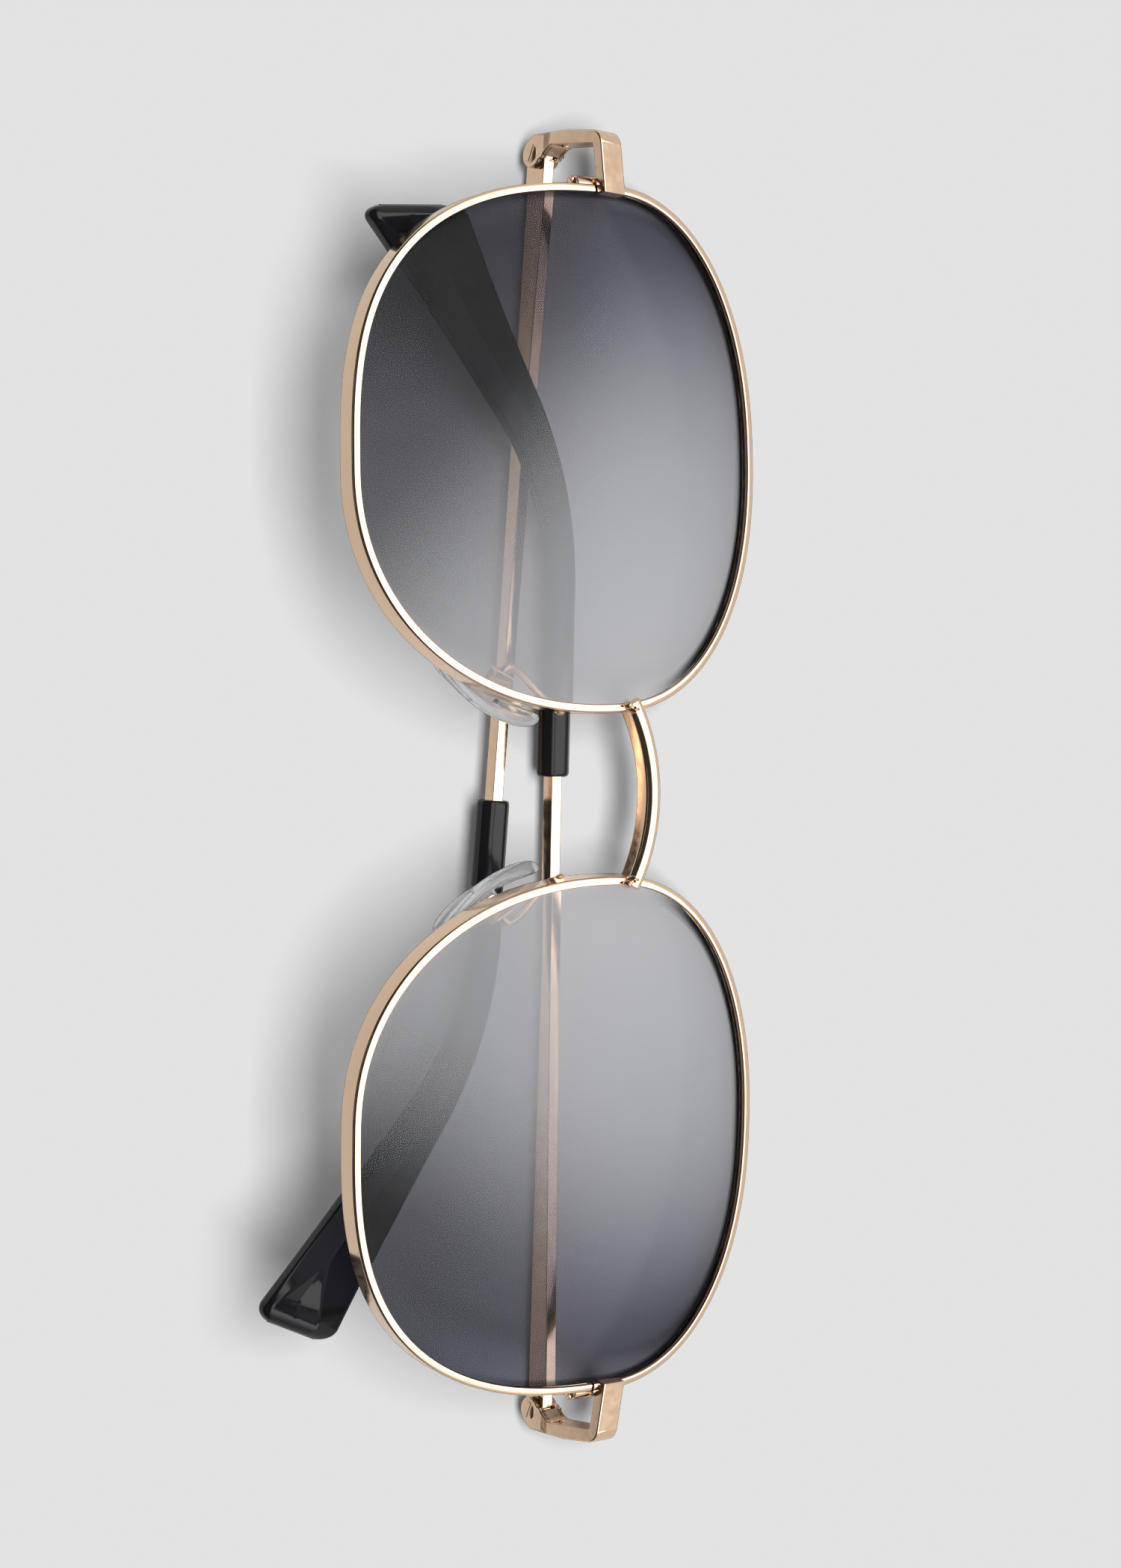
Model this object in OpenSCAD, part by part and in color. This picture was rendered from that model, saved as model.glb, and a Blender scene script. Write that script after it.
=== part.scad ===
// Folding metal sunglasses, folded and laid down on the brow side of the rims and the hinge barrels.
// Each piece is drawn in the front's own frame, X to the wearer's left, Y up the face, Z forward,
// with the middle of the two lens fronts at the origin, and lie() then leans it onto the table.
// Pieces of the right eye are mirror images of those of the left one, apart from the two folded temples.

/* [Eye shape] */
// From the middle of the eye to its outermost point, towards the temple
eye_out = 27.4; // [22:0.1:32]
// From the middle of the eye to its innermost point, towards the nose
eye_in = 27.2; // [22:0.1:32]
// From the middle of the eye up to the brow
eye_top = 22.5; // [17:0.1:27]
// From the middle of the eye down to the cheek
eye_sole = 24.0; // [18:0.1:28]
// How far towards the nose the highest point of the eye lies
peak_in = -0.2; // [-2:0.1:4]
// How far towards the nose the lowest point of the eye lies
sole_in = 2.7; // [0:0.1:5]
// Height of the outermost point of the eye
wide_out_up = 7.0; // [0:0.1:10]
// Height of the innermost point of the eye
wide_in_up = 4.9; // [0:0.1:10]
// Squareness of the four corners: upper outer, upper inner, lower inner, lower outer, where 2 is round
corner_power_shares = [2.4, 2.55, 2.13, 2.64];

/* [Front] */
// From the middle of one eye to the middle of the other
lens_pitch = 74.1; // [66:0.1:82]
// Angle by which each eye leans back towards its temple
wrap = 3.1; // [0:0.1:8]
// Radius of the curve of the lens fronts
base_r = 88; // [70:1:160]
// Thickness of the lens
lens_t = 1.9; // [1.4:0.1:2.6]
// Width of the rim wire, seen from the front
rim_w = 0.9; // [0.7:0.05:1.4]
// Depth of the rim wire, from front to back
rim_depth = 2.9; // [2.6:0.05:4]
// How far the rim stands in front of the lens
rim_lip = 0.5; // [0.2:0.05:0.8]
// Depth of the groove that holds the lens
groove_d = 0.4; // [0.2:0.05:0.5]
// Width of the groove that holds the lens
groove_w = 0.9; // [0.6:0.05:1.2]
// Play of the lens in its rim
lens_play = 0.03; // [0.01:0.01:0.08]

/* [Bridge] */
// Height of the bridge bar, seen from the front
bridge_h = 1.7; // [1.4:0.05:2.6]
// Depth of the bridge bar, from front to back
bridge_depth = 2.2; // [1.6:0.1:3]
// From the middle of the eye to where the bridge ends on the rim
bridge_from_eye = 27.15; // [26:0.05:28]
// Height of the middle of the bridge bar over the middle of the eyes
bridge_up = 10.7; // [9:0.1:14]
// How much lower the ends of the bridge lie than its middle
bridge_sag = 2.5; // [1:0.1:4]
// How far behind the lens fronts the bridge begins
bridge_back = 1.8; // [1:0.1:2.4]

/* [End pieces] */
// From the middle of the eye outward to the hinge pin
pin_from_eye = 32.55; // [30:0.05:35]
// Height of the underside of the hinge at the pin
pin_up = 4.3; // [2:0.1:6]
// How far behind the lens fronts the hinge pin stands
pin_back = 18.2; // [15:0.1:20]
// Angle by which the hinge pin leans, the tilt of the front when worn
pin_lean = 8.5; // [4:0.5:12]
// Angle by which the right hinge pin leans in towards the nose
pin_in_right = 3.7; // [0:0.1:5]
// Angle by which the left hinge pin leans in towards the nose
pin_in_left = -0.5; // [-2:0.1:5]
// Distance from the pin forward to the end piece's outer corner
piece_front = 12.3; // [11.5:0.1:13]
// Angle by which the end piece's front follows the curve of the face
piece_slant = 12; // [8:0.5:16]
// Distance from the pin outward to the outer side of the end piece
piece_out = 2.0; // [1.6:0.05:2.5]
// How much the outer side of the end piece draws in towards its front
piece_draw = 0.5; // [0:0.05:1]
// Thickness of the end piece
piece_t = 1.4; // [1.2:0.05:1.6]
// Radius of the end piece's outer corner
piece_corner_r = 1.9; // [1.7:0.1:2.4]
// How far the end piece reaches inward from the pin, over the rim
piece_reach = 5.8; // [5.5:0.1:6.4]

/* [Hinge] */
// Radius of the hinge barrel
barrel_r = 1.55; // [1.4:0.05:1.8]
// Thickness of each of the two ears of the hinge
ear_t = 0.7; // [0.6:0.05:0.9]
// Height of the temple's tongue between the ears
tongue_h = 1.35; // [1.2:0.05:1.6]
// Play above and below the tongue
tongue_play = 0.04; // [0.02:0.01:0.1]
// Play around the tongue's round end
slot_play = 0.15; // [0.1:0.05:0.3]
// Radius of the hinge screw's shank
screw_r = 0.6; // [0.5:0.05:0.7]
// Radius of the hinge screw's head
screw_head_r = 1.0; // [0.9:0.05:1.2]
// Height of the hinge screw's head
screw_head_h = 0.35; // [0.3:0.05:0.5]
// Running clearance between a screw and the hole it turns in
screw_play = 0.03; // [0.02:0.01:0.06]

/* [Rim locks] */
// Radius of the round tab that closes the rim
lock_r = 1.3; // [1.1:0.05:1.6]
// Height of each half of the tab
lock_h = 1.9; // [1.5:0.05:2.2]
// Gap in the rim between the two halves
lock_gap = 0.3; // [0.2:0.05:0.5]
// Height of the gap over the middle of the eye
lock_up = 5.3; // [5:0.1:5.4]
// Radius of the lock screw
lock_screw_r = 0.3; // [0.25:0.05:0.4]
// Radius of the lock screw's head
lock_head_r = 0.45; // [0.4:0.05:0.6]
// Height of the lock screw's head
lock_head_h = 0.3; // [0.2:0.05:0.4]

/* [Temples] */
// Length of the temple along its middle line, from the pin to the tip
temple_len = 136; // [125:1:145]
// Thickness of the arm at the hinge
arm_root_t = 3.1; // [2.6:0.1:3.2]
// Thickness of the arm where it has thinned
arm_t = 1.6; // [1.3:0.1:2.2]
// Distance from the pin to where the arm has thinned
arm_taper = 50; // [30:1:60]
// Distance from the pin to the mouth of the sleeve
sleeve_from = 71; // [64:1:78]
// Distance from the pin to where the right ear bend starts
bend_from_right = 86; // [80:1:92]
// Distance from the pin to where the left ear bend starts
bend_from_left = 91.5; // [86:0.5:96]
// Radius of the ear bend
bend_r = 35; // [25:1:50]
// Angle by which the ear part drops
drop_angle = 34.5; // [25:0.5:45]
// Height of the sleeve at its mouth
sleeve_h = 3.5; // [2.8:0.1:4]
// Thickness of the sleeve
sleeve_t = 2.7; // [2.4:0.1:3.4]
// Height of the sleeve's broad tip
tip_h = 10.2; // [7:0.1:12]
// Length of the rounding at the tip
tip_round = 2.0; // [1.5:0.1:4]
// Angle by which the sleeve's end is slanted, longer on its lower side
tip_slant = 22; // [10:1:35]
// Height of the core wire in the sleeve
core_h = 1.2; // [1:0.05:1.3]
// Thickness of the core wire in the sleeve
core_t = 0.9; // [0.7:0.05:1.2]
// Distance from the end of the core wire to the tip
core_short = 10; // [6:1:20]
// Play between the core wire and the sleeve
core_play = 0.05; // [0.02:0.01:0.1]

/* [Folded pose] */
// Angle by which the folded right temple leans away from the front
fold_out_right = 2.0; // [1:0.1:4]
// Angle by which the folded left temple leans towards the front
fold_in_left = 1.2; // [0.5:0.1:2]
// Angle at which the front leans back on the table
lie_tilt = 40.3; // [38:0.1:44]
// How far the leaning front moves so that the whole object is centred
lie_shift = 9.05; // [5:0.01:13]

/* [Nose pads] */
// Length of the nose pad
pad_l = 14; // [12:0.1:16]
// Width of the nose pad
pad_w = 7.6; // [6:0.1:9]
// Thickness of the nose pad
pad_t = 1.5; // [1.2:0.1:2]
// Radius of the curve of the pad's face
pad_curve_r = 20; // [14:1:30]
// From the middle of the eye inward to the middle of the pad
pad_from_eye = 26.85; // [25:0.05:28]
// How far under the middle of the eyes the pad's middle lies
pad_down = 6.5; // [5:0.1:9]
// How far behind the lens fronts the pad's middle lies
pad_back = 9.6; // [8:0.1:12]
// Radius of the pad arm's wire
pad_wire_r = 0.5; // [0.4:0.05:0.6]
// Width of the pad's boss, along its screw
boss_w = 1.2; // [1:0.1:1.6]
// Length of the pad's boss
boss_l = 2.2; // [1.8:0.1:2.6]
// Height of the pad's boss behind the pad
boss_h = 2.5; // [2.3:0.1:2.8]
// Radius of the pad screw
pad_screw_r = 0.35; // [0.3:0.05:0.4]
// Wall of the box that holds the boss
box_wall = 0.45; // [0.4:0.05:0.6]
// Play between the boss and its box
boss_play = 0.08; // [0.05:0.01:0.15]

/* [Hidden] */

gold = [0.83, 0.66, 0.52];
tint = [0.33, 0.34, 0.37, 0.6];
black = [0.05, 0.05, 0.055];
clear = [0.85, 0.87, 0.9, 0.5];

RIGHT = -1;
LEFT = 1;
round_fn = 48;
ball_fn = 180;
quarter_steps = 20;
// One overrun serves every cut that must pass a face
cut = 1;
// Room past the whole eye, for the blanks that the rims are cut from
blank_depth = rim_depth + eye_out * eye_out / base_r + cut;

bridge_half = lens_pitch / 2 - bridge_from_eye;
pin_out = lens_pitch / 2 + pin_from_eye;
pad_out = lens_pitch / 2 - pad_from_eye;
barrel_h = 2 * (ear_t + tongue_play) + tongue_h;
hole_r = screw_r + screw_play;
lens_edge_d = groove_d - lens_play;

// Middles and half sizes of the four quarters of the eye, from the upper outer one round by the nose
quarter_x = [-peak_in, -peak_in, -sole_in, -sole_in];
quarter_y = [wide_out_up, wide_in_up, wide_in_up, wide_out_up];
quarter_half_x = [eye_out + peak_in, eye_in - peak_in, eye_in - sole_in, eye_out + sole_in];
quarter_half_y = [eye_top - wide_out_up, eye_top - wide_in_up, eye_sole + wide_in_up, eye_sole + wide_out_up];

function signed_power(t, power) = sign(t) * pow(abs(t), 2 / power);
function eye_point(quarter, angle) = [
    quarter_x[quarter] + quarter_half_x[quarter] * signed_power(cos(angle), corner_power_shares[quarter]),
    quarter_y[quarter] + quarter_half_y[quarter] * signed_power(sin(angle), corner_power_shares[quarter])
];
eye_points = [
    for (quarter = [0:3], step = [0:quarter_steps - 1])
        eye_point(quarter, 90 * (quarter + step / quarter_steps))
];

// The outline moved outward along its normals
function grown(points, by) = [
    for (i = [0:len(points) - 1])
        let (
            ahead = points[(i + 1) % len(points)],
            behind = points[(i + len(points) - 1) % len(points)],
            run = (ahead - behind) / norm(ahead - behind)
        )
        points[i] + by * [run.y, -run.x]
];

function arc(centre, r, from, to, steps) = [
    for (i = [0:steps])
        let (a = from + (to - from) * i / steps) centre + r * [cos(a), sin(a)]
];

// How far below the front's origin the leaning rims and hinge barrels reach
rim_back_r = base_r + rim_lip - rim_depth;
function rim_reach(p) =
    let (z = sqrt(rim_back_r * rim_back_r - p.x * p.x - p.y * p.y) - base_r)
    p.y * sin(lie_tilt) - (z * cos(wrap) - p.x * sin(wrap)) * cos(lie_tilt);
rim_low = max([for (p = grown(eye_points, rim_w)) rim_reach(p)]);
barrel_low =
    (pin_up + barrel_h * cos(pin_lean)) * sin(lie_tilt)
    + (pin_back + barrel_h * sin(pin_lean)) * cos(lie_tilt)
    + barrel_r * cos(lie_tilt + pin_lean);
lie_height = max(rim_low, barrel_low);

module lie() {
    translate([0, lie_shift, lie_height]) rotate([-lie_tilt, 0, 0]) children();
}

module on_side(side) {
    if (side == LEFT) children();
    else mirror([1, 0, 0]) children();
}

// The eye's own frame, with the lens front's middle at its origin
module at_eye(side) {
    lie() on_side(side) translate([lens_pitch / 2, 0, 0]) rotate([0, wrap, 0]) children();
}

// The hinge's own frame: Y along the pin from its lower end, X outward, Z forward
module at_hinge(side) {
    lie() on_side(side) translate([pin_out, pin_up, -pin_back]) rotate([-pin_lean, 0, 0])
        rotate([0, 0, side == RIGHT ? pin_in_right : pin_in_left]) children();
}

module along_y(h) {
    translate([0, h, 0]) rotate([90, 0, 0]) linear_extrude(h) children();
}

module y_cylinder(r, from, to) {
    translate([0, from, 0]) rotate([-90, 0, 0]) cylinder(r = r, h = to - from, $fn = round_fn);
}

module ball(r) {
    translate([0, 0, -base_r]) sphere(r = r, $fn = ball_fn);
}

module eye_prism(by) {
    translate([0, 0, -blank_depth - rim_depth]) linear_extrude(blank_depth + 2 * rim_depth)
        polygon(grown(eye_points, by));
}

// A curved sheet of the eye's outline, between two depths behind the lens front
module eye_sheet(by, from, to) {
    difference() {
        intersection() {
            eye_prism(by);
            ball(base_r - from);
        }
        ball(base_r - to);
    }
}

module rim(side) {
    groove_from = (lens_t - groove_w) / 2;
    color(gold) at_eye(side) difference() {
        eye_sheet(rim_w, -rim_lip, rim_depth - rim_lip);
        eye_prism(0);
        eye_sheet(groove_d, groove_from, groove_from + groove_w);
        translate([0, lock_up - lock_gap / 2, -blank_depth])
            cube([eye_out + rim_w + cut, lock_gap, 2 * blank_depth]);
    }
}

module lens(side) {
    edge_from = (lens_t - groove_w) / 2 + lens_play;
    color(tint) at_eye(side) {
        eye_sheet(-lens_play, 0, lens_t);
        eye_sheet(lens_edge_d, edge_from, edge_from + groove_w - 2 * lens_play);
    }
}

// Everything inside the rims' outer walls, which the pieces soldered to a rim are cut back from.
// A piece soldered to the rim's back is cut some way past the wall too.
module rim_blank(side, past) {
    on_side(side) translate([lens_pitch / 2, 0, 0]) rotate([0, wrap, 0])
        eye_sheet(rim_w + past, -rim_lip, rim_depth - rim_lip);
}

module bridge() {
    arch_r = (bridge_half * bridge_half + bridge_sag * bridge_sag) / (2 * bridge_sag);
    half_angle = asin(bridge_half / arch_r);
    middle = [0, bridge_up - arch_r];
    color(gold) lie() difference() {
        translate([0, 0, -bridge_back - bridge_depth]) linear_extrude(bridge_depth) polygon(concat(
            arc(middle, arch_r + bridge_h / 2, 90 - half_angle, 90 + half_angle, quarter_steps),
            arc(middle, arch_r - bridge_h / 2, 90 + half_angle, 90 - half_angle, quarter_steps)
        ));
        rim_blank(RIGHT, 0);
        rim_blank(LEFT, 0);
    }
}

// The strip seen along the pin: its front follows the face, and its inner side curves into the barrel
module end_piece_outline() {
    front_out = piece_out - piece_draw;
    inner_r = piece_corner_r - piece_t;
    corner = [front_out - piece_corner_r, piece_front - piece_corner_r];
    reach = (piece_reach + corner.x) / cos(piece_slant);
    inward = [-cos(piece_slant), sin(piece_slant)];
    forward = [sin(piece_slant), cos(piece_slant)];
    bay_r = piece_front / 5;
    bay = [piece_out - piece_t - bay_r, barrel_r + bay_r];
    polygon(concat(
        [corner + reach * inward + inner_r * forward, corner + reach * inward + piece_corner_r * forward],
        arc(corner, piece_corner_r, 90 - piece_slant, 0, quarter_steps),
        [
            [piece_out, piece_front / 2],
            [piece_out, 0],
            [piece_out - barrel_r / 2, -barrel_r / 2],
            [0, -barrel_r / 2],
            [-barrel_r / 2, 0]
        ],
        arc(bay, bay_r, -60, 0, quarter_steps),
        arc(corner, inner_r, 0, 90 - piece_slant, quarter_steps)
    ));
}

module end_piece(side) {
    slot_r = barrel_r + slot_play;
    slot_h = tongue_h + 2 * tongue_play;
    color(gold) difference() {
        at_hinge(side) difference() {
            union() {
                along_y(barrel_h) end_piece_outline();
                y_cylinder(barrel_r, 0, barrel_h);
            }
            translate([0, ear_t, 0]) {
                y_cylinder(slot_r, 0, slot_h);
                translate([-slot_r - cut, 0, -slot_r - cut])
                    cube([slot_r + piece_out + 2 * cut, slot_h, slot_r + cut]);
                translate([-slot_r - cut, 0, -slot_r - cut])
                    cube([slot_r + cut, slot_h, 2 * slot_r + cut + slot_play]);
            }
            y_cylinder(hole_r, -cut, barrel_h + cut);
            y_cylinder(screw_head_r + screw_play, -cut, screw_head_h);
        }
        lie() rim_blank(side, 0);
        lock_tab(side, lock_gap / 2);
    }
}

module hinge_screw(side) {
    slot_w = screw_r / 2;
    color(gold) at_hinge(side) difference() {
        union() {
            y_cylinder(screw_r, screw_head_h, barrel_h);
            y_cylinder(screw_head_r, 0, screw_head_h);
        }
        translate([-screw_head_r - cut, -screw_head_h / 2, -slot_w / 2])
            cube([2 * (screw_head_r + cut), screw_head_h, slot_w]);
    }
}

// The rim lock's own frame: its screw's axis runs along Y through the origin, at the gap's middle
module at_lock(side) {
    wall = eye_out + rim_w;
    middle_depth = (wall * wall + lock_up * lock_up) / (2 * base_r) + rim_depth / 2 - rim_lip;
    at_eye(side) translate([wall, lock_up, -middle_depth]) children();
}

// The screw's head just clears the rim's outer wall
lock_screw_x = lock_head_r + screw_play;

module lock_tab(side, from) {
    at_lock(side) translate([lock_screw_x - lock_r + lock_head_r, 0, 0])
        y_cylinder(lock_r, from, from + lock_h);
}

module rim_lock(side, from) {
    color(gold) difference() {
        lock_tab(side, from);
        at_lock(side) translate([lock_screw_x, 0, 0])
            y_cylinder(lock_screw_r + screw_play, -lock_h - cut, lock_h + cut);
        at_eye(side) eye_prism(rim_w);
    }
}

module lock_screw(side) {
    color(gold) at_lock(side) translate([lock_screw_x, 0, 0]) {
        y_cylinder(lock_screw_r, -lock_gap / 2 - lock_h, lock_gap / 2 + lock_h);
        y_cylinder(lock_head_r, -lock_gap / 2 - lock_h - lock_head_h, -lock_gap / 2 - lock_h);
    }
}

// The temple's own frame when folded: X along the arm from the pin, Y along the pin, Z towards the front
module at_temple(side) {
    fold = side == RIGHT ? fold_out_right : -fold_in_left;
    at_hinge(side) mirror([1, 0, 0]) rotate([0, fold, 0])
        translate([0, ear_t + tongue_play + tongue_h / 2, 0]) children();
}

// The temple's middle line: straight from the pin, then round the ear bend
function bend_from_of(side) = side == RIGHT ? bend_from_right : bend_from_left;
function heading(side, s) = -max(0, min(drop_angle, (s - bend_from_of(side)) / bend_r * 180 / PI));
function middle_line(side, s) =
    let (
        bend = bend_from_of(side),
        bend_end = bend + bend_r * drop_angle * PI / 180,
        turned = max(0, min(s, bend_end) - bend) / bend_r * 180 / PI,
        last = max(0, s - bend_end)
    )
    [min(s, bend), 0] + bend_r * [sin(turned), cos(turned) - 1] + last * [cos(drop_angle), -sin(drop_angle)];

// The middle line thickened to both sides by half, for flat strips cut along it
function strip(side, half, stations) =
    let (ends = [for (s = stations)
        let (a = heading(side, s), n = [-sin(a), cos(a)], p = middle_line(side, s))
        [p + half * n, p - half * n]])
    concat([for (e = ends) e[0]], [for (i = [len(ends) - 1:-1:0]) ends[i][1]]);

core_steps = 24;
core_stations = [for (i = [0:core_steps])
    sleeve_from - core_t + (temple_len - core_short - sleeve_from + core_t) * i / core_steps];

module temple_arm(side) {
    color(gold) at_temple(side) {
        difference() {
            union() {
                translate([0, -tongue_h / 2, 0]) y_cylinder(barrel_r, 0, tongue_h);
                translate([0, -tongue_h / 2, 0]) along_y(tongue_h) polygon([
                    [0, -arm_root_t / 2], [arm_root_t, -arm_root_t / 2],
                    [arm_taper, -arm_t / 2], [sleeve_from, -arm_t / 2],
                    [sleeve_from, arm_t / 2], [arm_taper, arm_t / 2],
                    [arm_root_t, arm_root_t / 2], [0, arm_root_t / 2]
                ]);
            }
            y_cylinder(hole_r, -tongue_h, tongue_h);
        }
        translate([0, 0, -core_t / 2]) linear_extrude(core_t)
            polygon(strip(side, core_h / 2, core_stations));
    }
}

// The sleeve's rounded sections follow the middle line, grow towards the tip and lean over at its end
sleeve_rings = 30;
section_steps = 16;
sleeve_power = 3;
broad_share = 0.25;
flare_power = 1.7;
function sleeve_along(side, t) = sleeve_from + (temple_len - sleeve_from) * t;
function smooth(t) = let (c = max(0, min(1, t))) c * c * (3 - 2 * c);
function half_height(side, s) =
    let (t = max(0, s - bend_from_of(side)) / (temple_len - bend_from_of(side)))
    sleeve_h / 2 + (tip_h - sleeve_h) / 2 * pow(t, flare_power);
function tip_close(s) =
    let (t = max(0, s - temple_len + tip_round) / tip_round) sqrt(max(0, 1 - t * t));
function tip_lean(side, s) = tan(tip_slant) * smooth((s - temple_len + 2 * tip_h) / (2 * tip_h));
function sleeve_ring(side, s) = [
    for (k = [0:section_steps - 1])
        let (
            a = 360 * k / section_steps,
            close = max(tip_close(s), broad_share),
            v = half_height(side, s) * signed_power(sin(a), sleeve_power) * (1 + close) / 2,
            w = sleeve_t / 2 * signed_power(cos(a), sleeve_power) * close,
            turn = heading(side, s),
            along = [cos(turn), sin(turn)],
            across = [-sin(turn), cos(turn)],
            p = middle_line(side, s) + across * v - along * v * tip_lean(side, s)
        )
        [p.x, p.y, w]
];
sleeve_shares = concat(
    [for (i = [0:sleeve_rings - 6]) i / (sleeve_rings - 6) * (1 - tip_round / (temple_len - sleeve_from))],
    [for (i = [1:5]) 1 - tip_round / (temple_len - sleeve_from) * (1 - sin(18 * i))]
);

module swept(rings) {
    n = len(rings[0]);
    last = len(rings) - 1;
    polyhedron(
        points = [for (ring = rings) each ring],
        faces = concat(
            [[for (k = [0:n - 1]) k]],
            [for (i = [0:last - 1], k = [0:n - 1])
                [i * n + k, (i + 1) * n + k, (i + 1) * n + (k + 1) % n]],
            [for (i = [0:last - 1], k = [0:n - 1])
                [i * n + k, (i + 1) * n + (k + 1) % n, i * n + (k + 1) % n]],
            [[for (k = [n - 1:-1:0]) last * n + k]]
        )
    );
}

module temple_sleeve(side) {
    color(black) at_temple(side) difference() {
        swept([for (t = sleeve_shares) sleeve_ring(side, sleeve_along(side, t))]);
        translate([0, 0, -core_t / 2 - core_play]) linear_extrude(core_t + 2 * core_play)
            polygon(strip(side, core_h / 2 + core_play, concat(
                [sleeve_from - cut], core_stations, [temple_len - core_short + core_play]
            )));
    }
}

// The pad's own frame: X up the pad's length, Z towards the nose, Y across, with its screw along Y
pad_up_share = [-0.49, 0.87, 0];
pad_face_share = [-0.826, -0.466, -0.317];
screw_behind = pad_t / 2 + boss_h - boss_l / 2;

module at_pad(side) {
    z = pad_face_share / norm(pad_face_share);
    x_raw = pad_up_share - z * (pad_up_share * z);
    x = x_raw / norm(x_raw);
    y = cross(z, x);
    lie() on_side(side) translate([pad_out, -pad_down, -pad_back])
        multmatrix([
            [x.x, y.x, z.x, 0],
            [x.y, y.y, z.y, 0],
            [x.z, y.z, z.z, 0],
            [0, 0, 0, 1]
        ])
        children();
}

pad_taper_share = 0.25;
pad_points = [
    for (i = [0:4 * quarter_steps - 1])
        let (a = 90 * i / quarter_steps)
        [pad_l / 2 * cos(a), pad_w / 2 * sin(a) * (1 - pad_taper_share * cos(a))]
];

module nose_pad(side) {
    color(clear) at_pad(side) difference() {
        union() {
            intersection() {
                translate([0, 0, -pad_l / 2]) linear_extrude(pad_l) polygon(pad_points);
                translate([0, 0, pad_t / 2 - pad_curve_r]) difference() {
                    y_cylinder(pad_curve_r, -pad_w, pad_w);
                    y_cylinder(pad_curve_r - pad_t, -pad_w - cut, pad_w + cut);
                }
            }
            translate([-boss_l / 2, -boss_w / 2, -screw_behind]) cube([boss_l, boss_w, screw_behind]);
            translate([0, 0, -screw_behind]) y_cylinder(boss_l / 2, -boss_w / 2, boss_w / 2);
        }
        translate([0, 0, -screw_behind]) y_cylinder(pad_screw_r + screw_play, -boss_w, boss_w);
    }
}

box_in_w = boss_w + 2 * boss_play;
box_out_w = box_in_w + 2 * box_wall;
box_r = boss_l / 2;
box_floor = screw_behind + box_r + boss_play;

module pad_box(side) {
    color(gold) at_pad(side) difference() {
        union() {
            translate([0, -box_out_w / 2, -screw_behind]) y_cylinder(box_r, 0, box_out_w);
            translate([-box_r, -box_out_w / 2, -box_floor - box_wall])
                cube([2 * box_r, box_out_w, box_floor + box_wall - screw_behind]);
        }
        translate([-box_r - cut, -box_in_w / 2, -box_floor])
            cube([2 * (box_r + cut), box_in_w, box_floor]);
        translate([0, 0, -screw_behind]) y_cylinder(pad_screw_r + screw_play, -box_out_w, box_out_w);
    }
}

module pad_screw(side) {
    color(gold) at_pad(side) translate([0, 0, -screw_behind]) {
        y_cylinder(pad_screw_r, -box_out_w / 2, box_out_w / 2);
        y_cylinder(pad_screw_r + box_wall / 2, box_out_w / 2, box_out_w / 2 + box_wall / 2);
    }
}

// A point on the curve that starts at c[0] towards c[1] and comes from c[2] into c[3], and its direction
function on_curve(c, t) =
    let (u = 1 - t)
    c[0] * u * u * u + c[1] * (3 * u * u * t) + c[2] * (3 * u * t * t) + c[3] * t * t * t;
function curve_run(c, t) =
    let (u = 1 - t, run = (c[1] - c[0]) * u * u + (c[2] - c[1]) * (2 * u * t) + (c[3] - c[2]) * t * t)
    run / norm(run);
wire_sides = 12;
wire_steps = 14;
function wire_ring(c, t, r) =
    let (
        run = curve_run(c, t),
        across_raw = cross(run, [0, 1, 0]),
        across = across_raw / norm(across_raw),
        over = cross(run, across)
    )
    [for (k = [0:wire_sides - 1])
        let (a = -360 * k / wire_sides) on_curve(c, t) + r * (across * cos(a) + over * sin(a))];

// The wire leaves the back of the rim beside the nose and loops round into the back of the pad's box.
// Here is where it leaves the rim, as a turn round the eye, and how far its ends run straight on.
root_turn = 187;
root_run_share = 0.8;
box_run_share = 0.35;

module pad_arm(side) {
    z = pad_face_share / norm(pad_face_share);
    on_rim = eye_point(2, root_turn) - [rim_w / 2, 0];
    on_rim_z = sqrt(rim_back_r * rim_back_r - on_rim * on_rim) - base_r;
    root = [
        lens_pitch / 2 + on_rim.x * cos(wrap) + on_rim_z * sin(wrap),
        on_rim.y,
        on_rim_z * cos(wrap) - on_rim.x * sin(wrap)
    ];
    box_back = [pad_out, -pad_down, -pad_back] - z * (box_floor + box_wall);
    reach = norm(box_back - root);
    curve = [root, root - [0, 0, reach * root_run_share], box_back - z * reach * box_run_share, box_back];
    rings = [for (i = [0:wire_steps]) wire_ring(curve, i / wire_steps, pad_wire_r)];
    into_rim = [for (p = rings[0]) p + [0, 0, pad_wire_r]];
    color(gold) lie() difference() {
        on_side(side) swept(concat([into_rim], rings));
        rim_blank(side, 2 * pad_wire_r);
    }
}

rim(RIGHT);  // rim_right
rim(LEFT);  // rim_left
lens(RIGHT);  // lens_right
lens(LEFT);  // lens_left
bridge();
end_piece(RIGHT);  // end_piece_right
end_piece(LEFT);  // end_piece_left
rim_lock(RIGHT, lock_gap / 2);  // lock_top_right
rim_lock(LEFT, lock_gap / 2);  // lock_top_left
rim_lock(RIGHT, -lock_gap / 2 - lock_h);  // lock_sole_right
rim_lock(LEFT, -lock_gap / 2 - lock_h);  // lock_sole_left
lock_screw(RIGHT);  // lock_screw_right
lock_screw(LEFT);  // lock_screw_left
hinge_screw(RIGHT);  // hinge_screw_right
hinge_screw(LEFT);  // hinge_screw_left
temple_arm(RIGHT);  // temple_arm_right
temple_arm(LEFT);  // temple_arm_left
temple_sleeve(RIGHT);  // temple_sleeve_right
temple_sleeve(LEFT);  // temple_sleeve_left
pad_arm(RIGHT);  // pad_arm_right
pad_arm(LEFT);  // pad_arm_left
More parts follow.
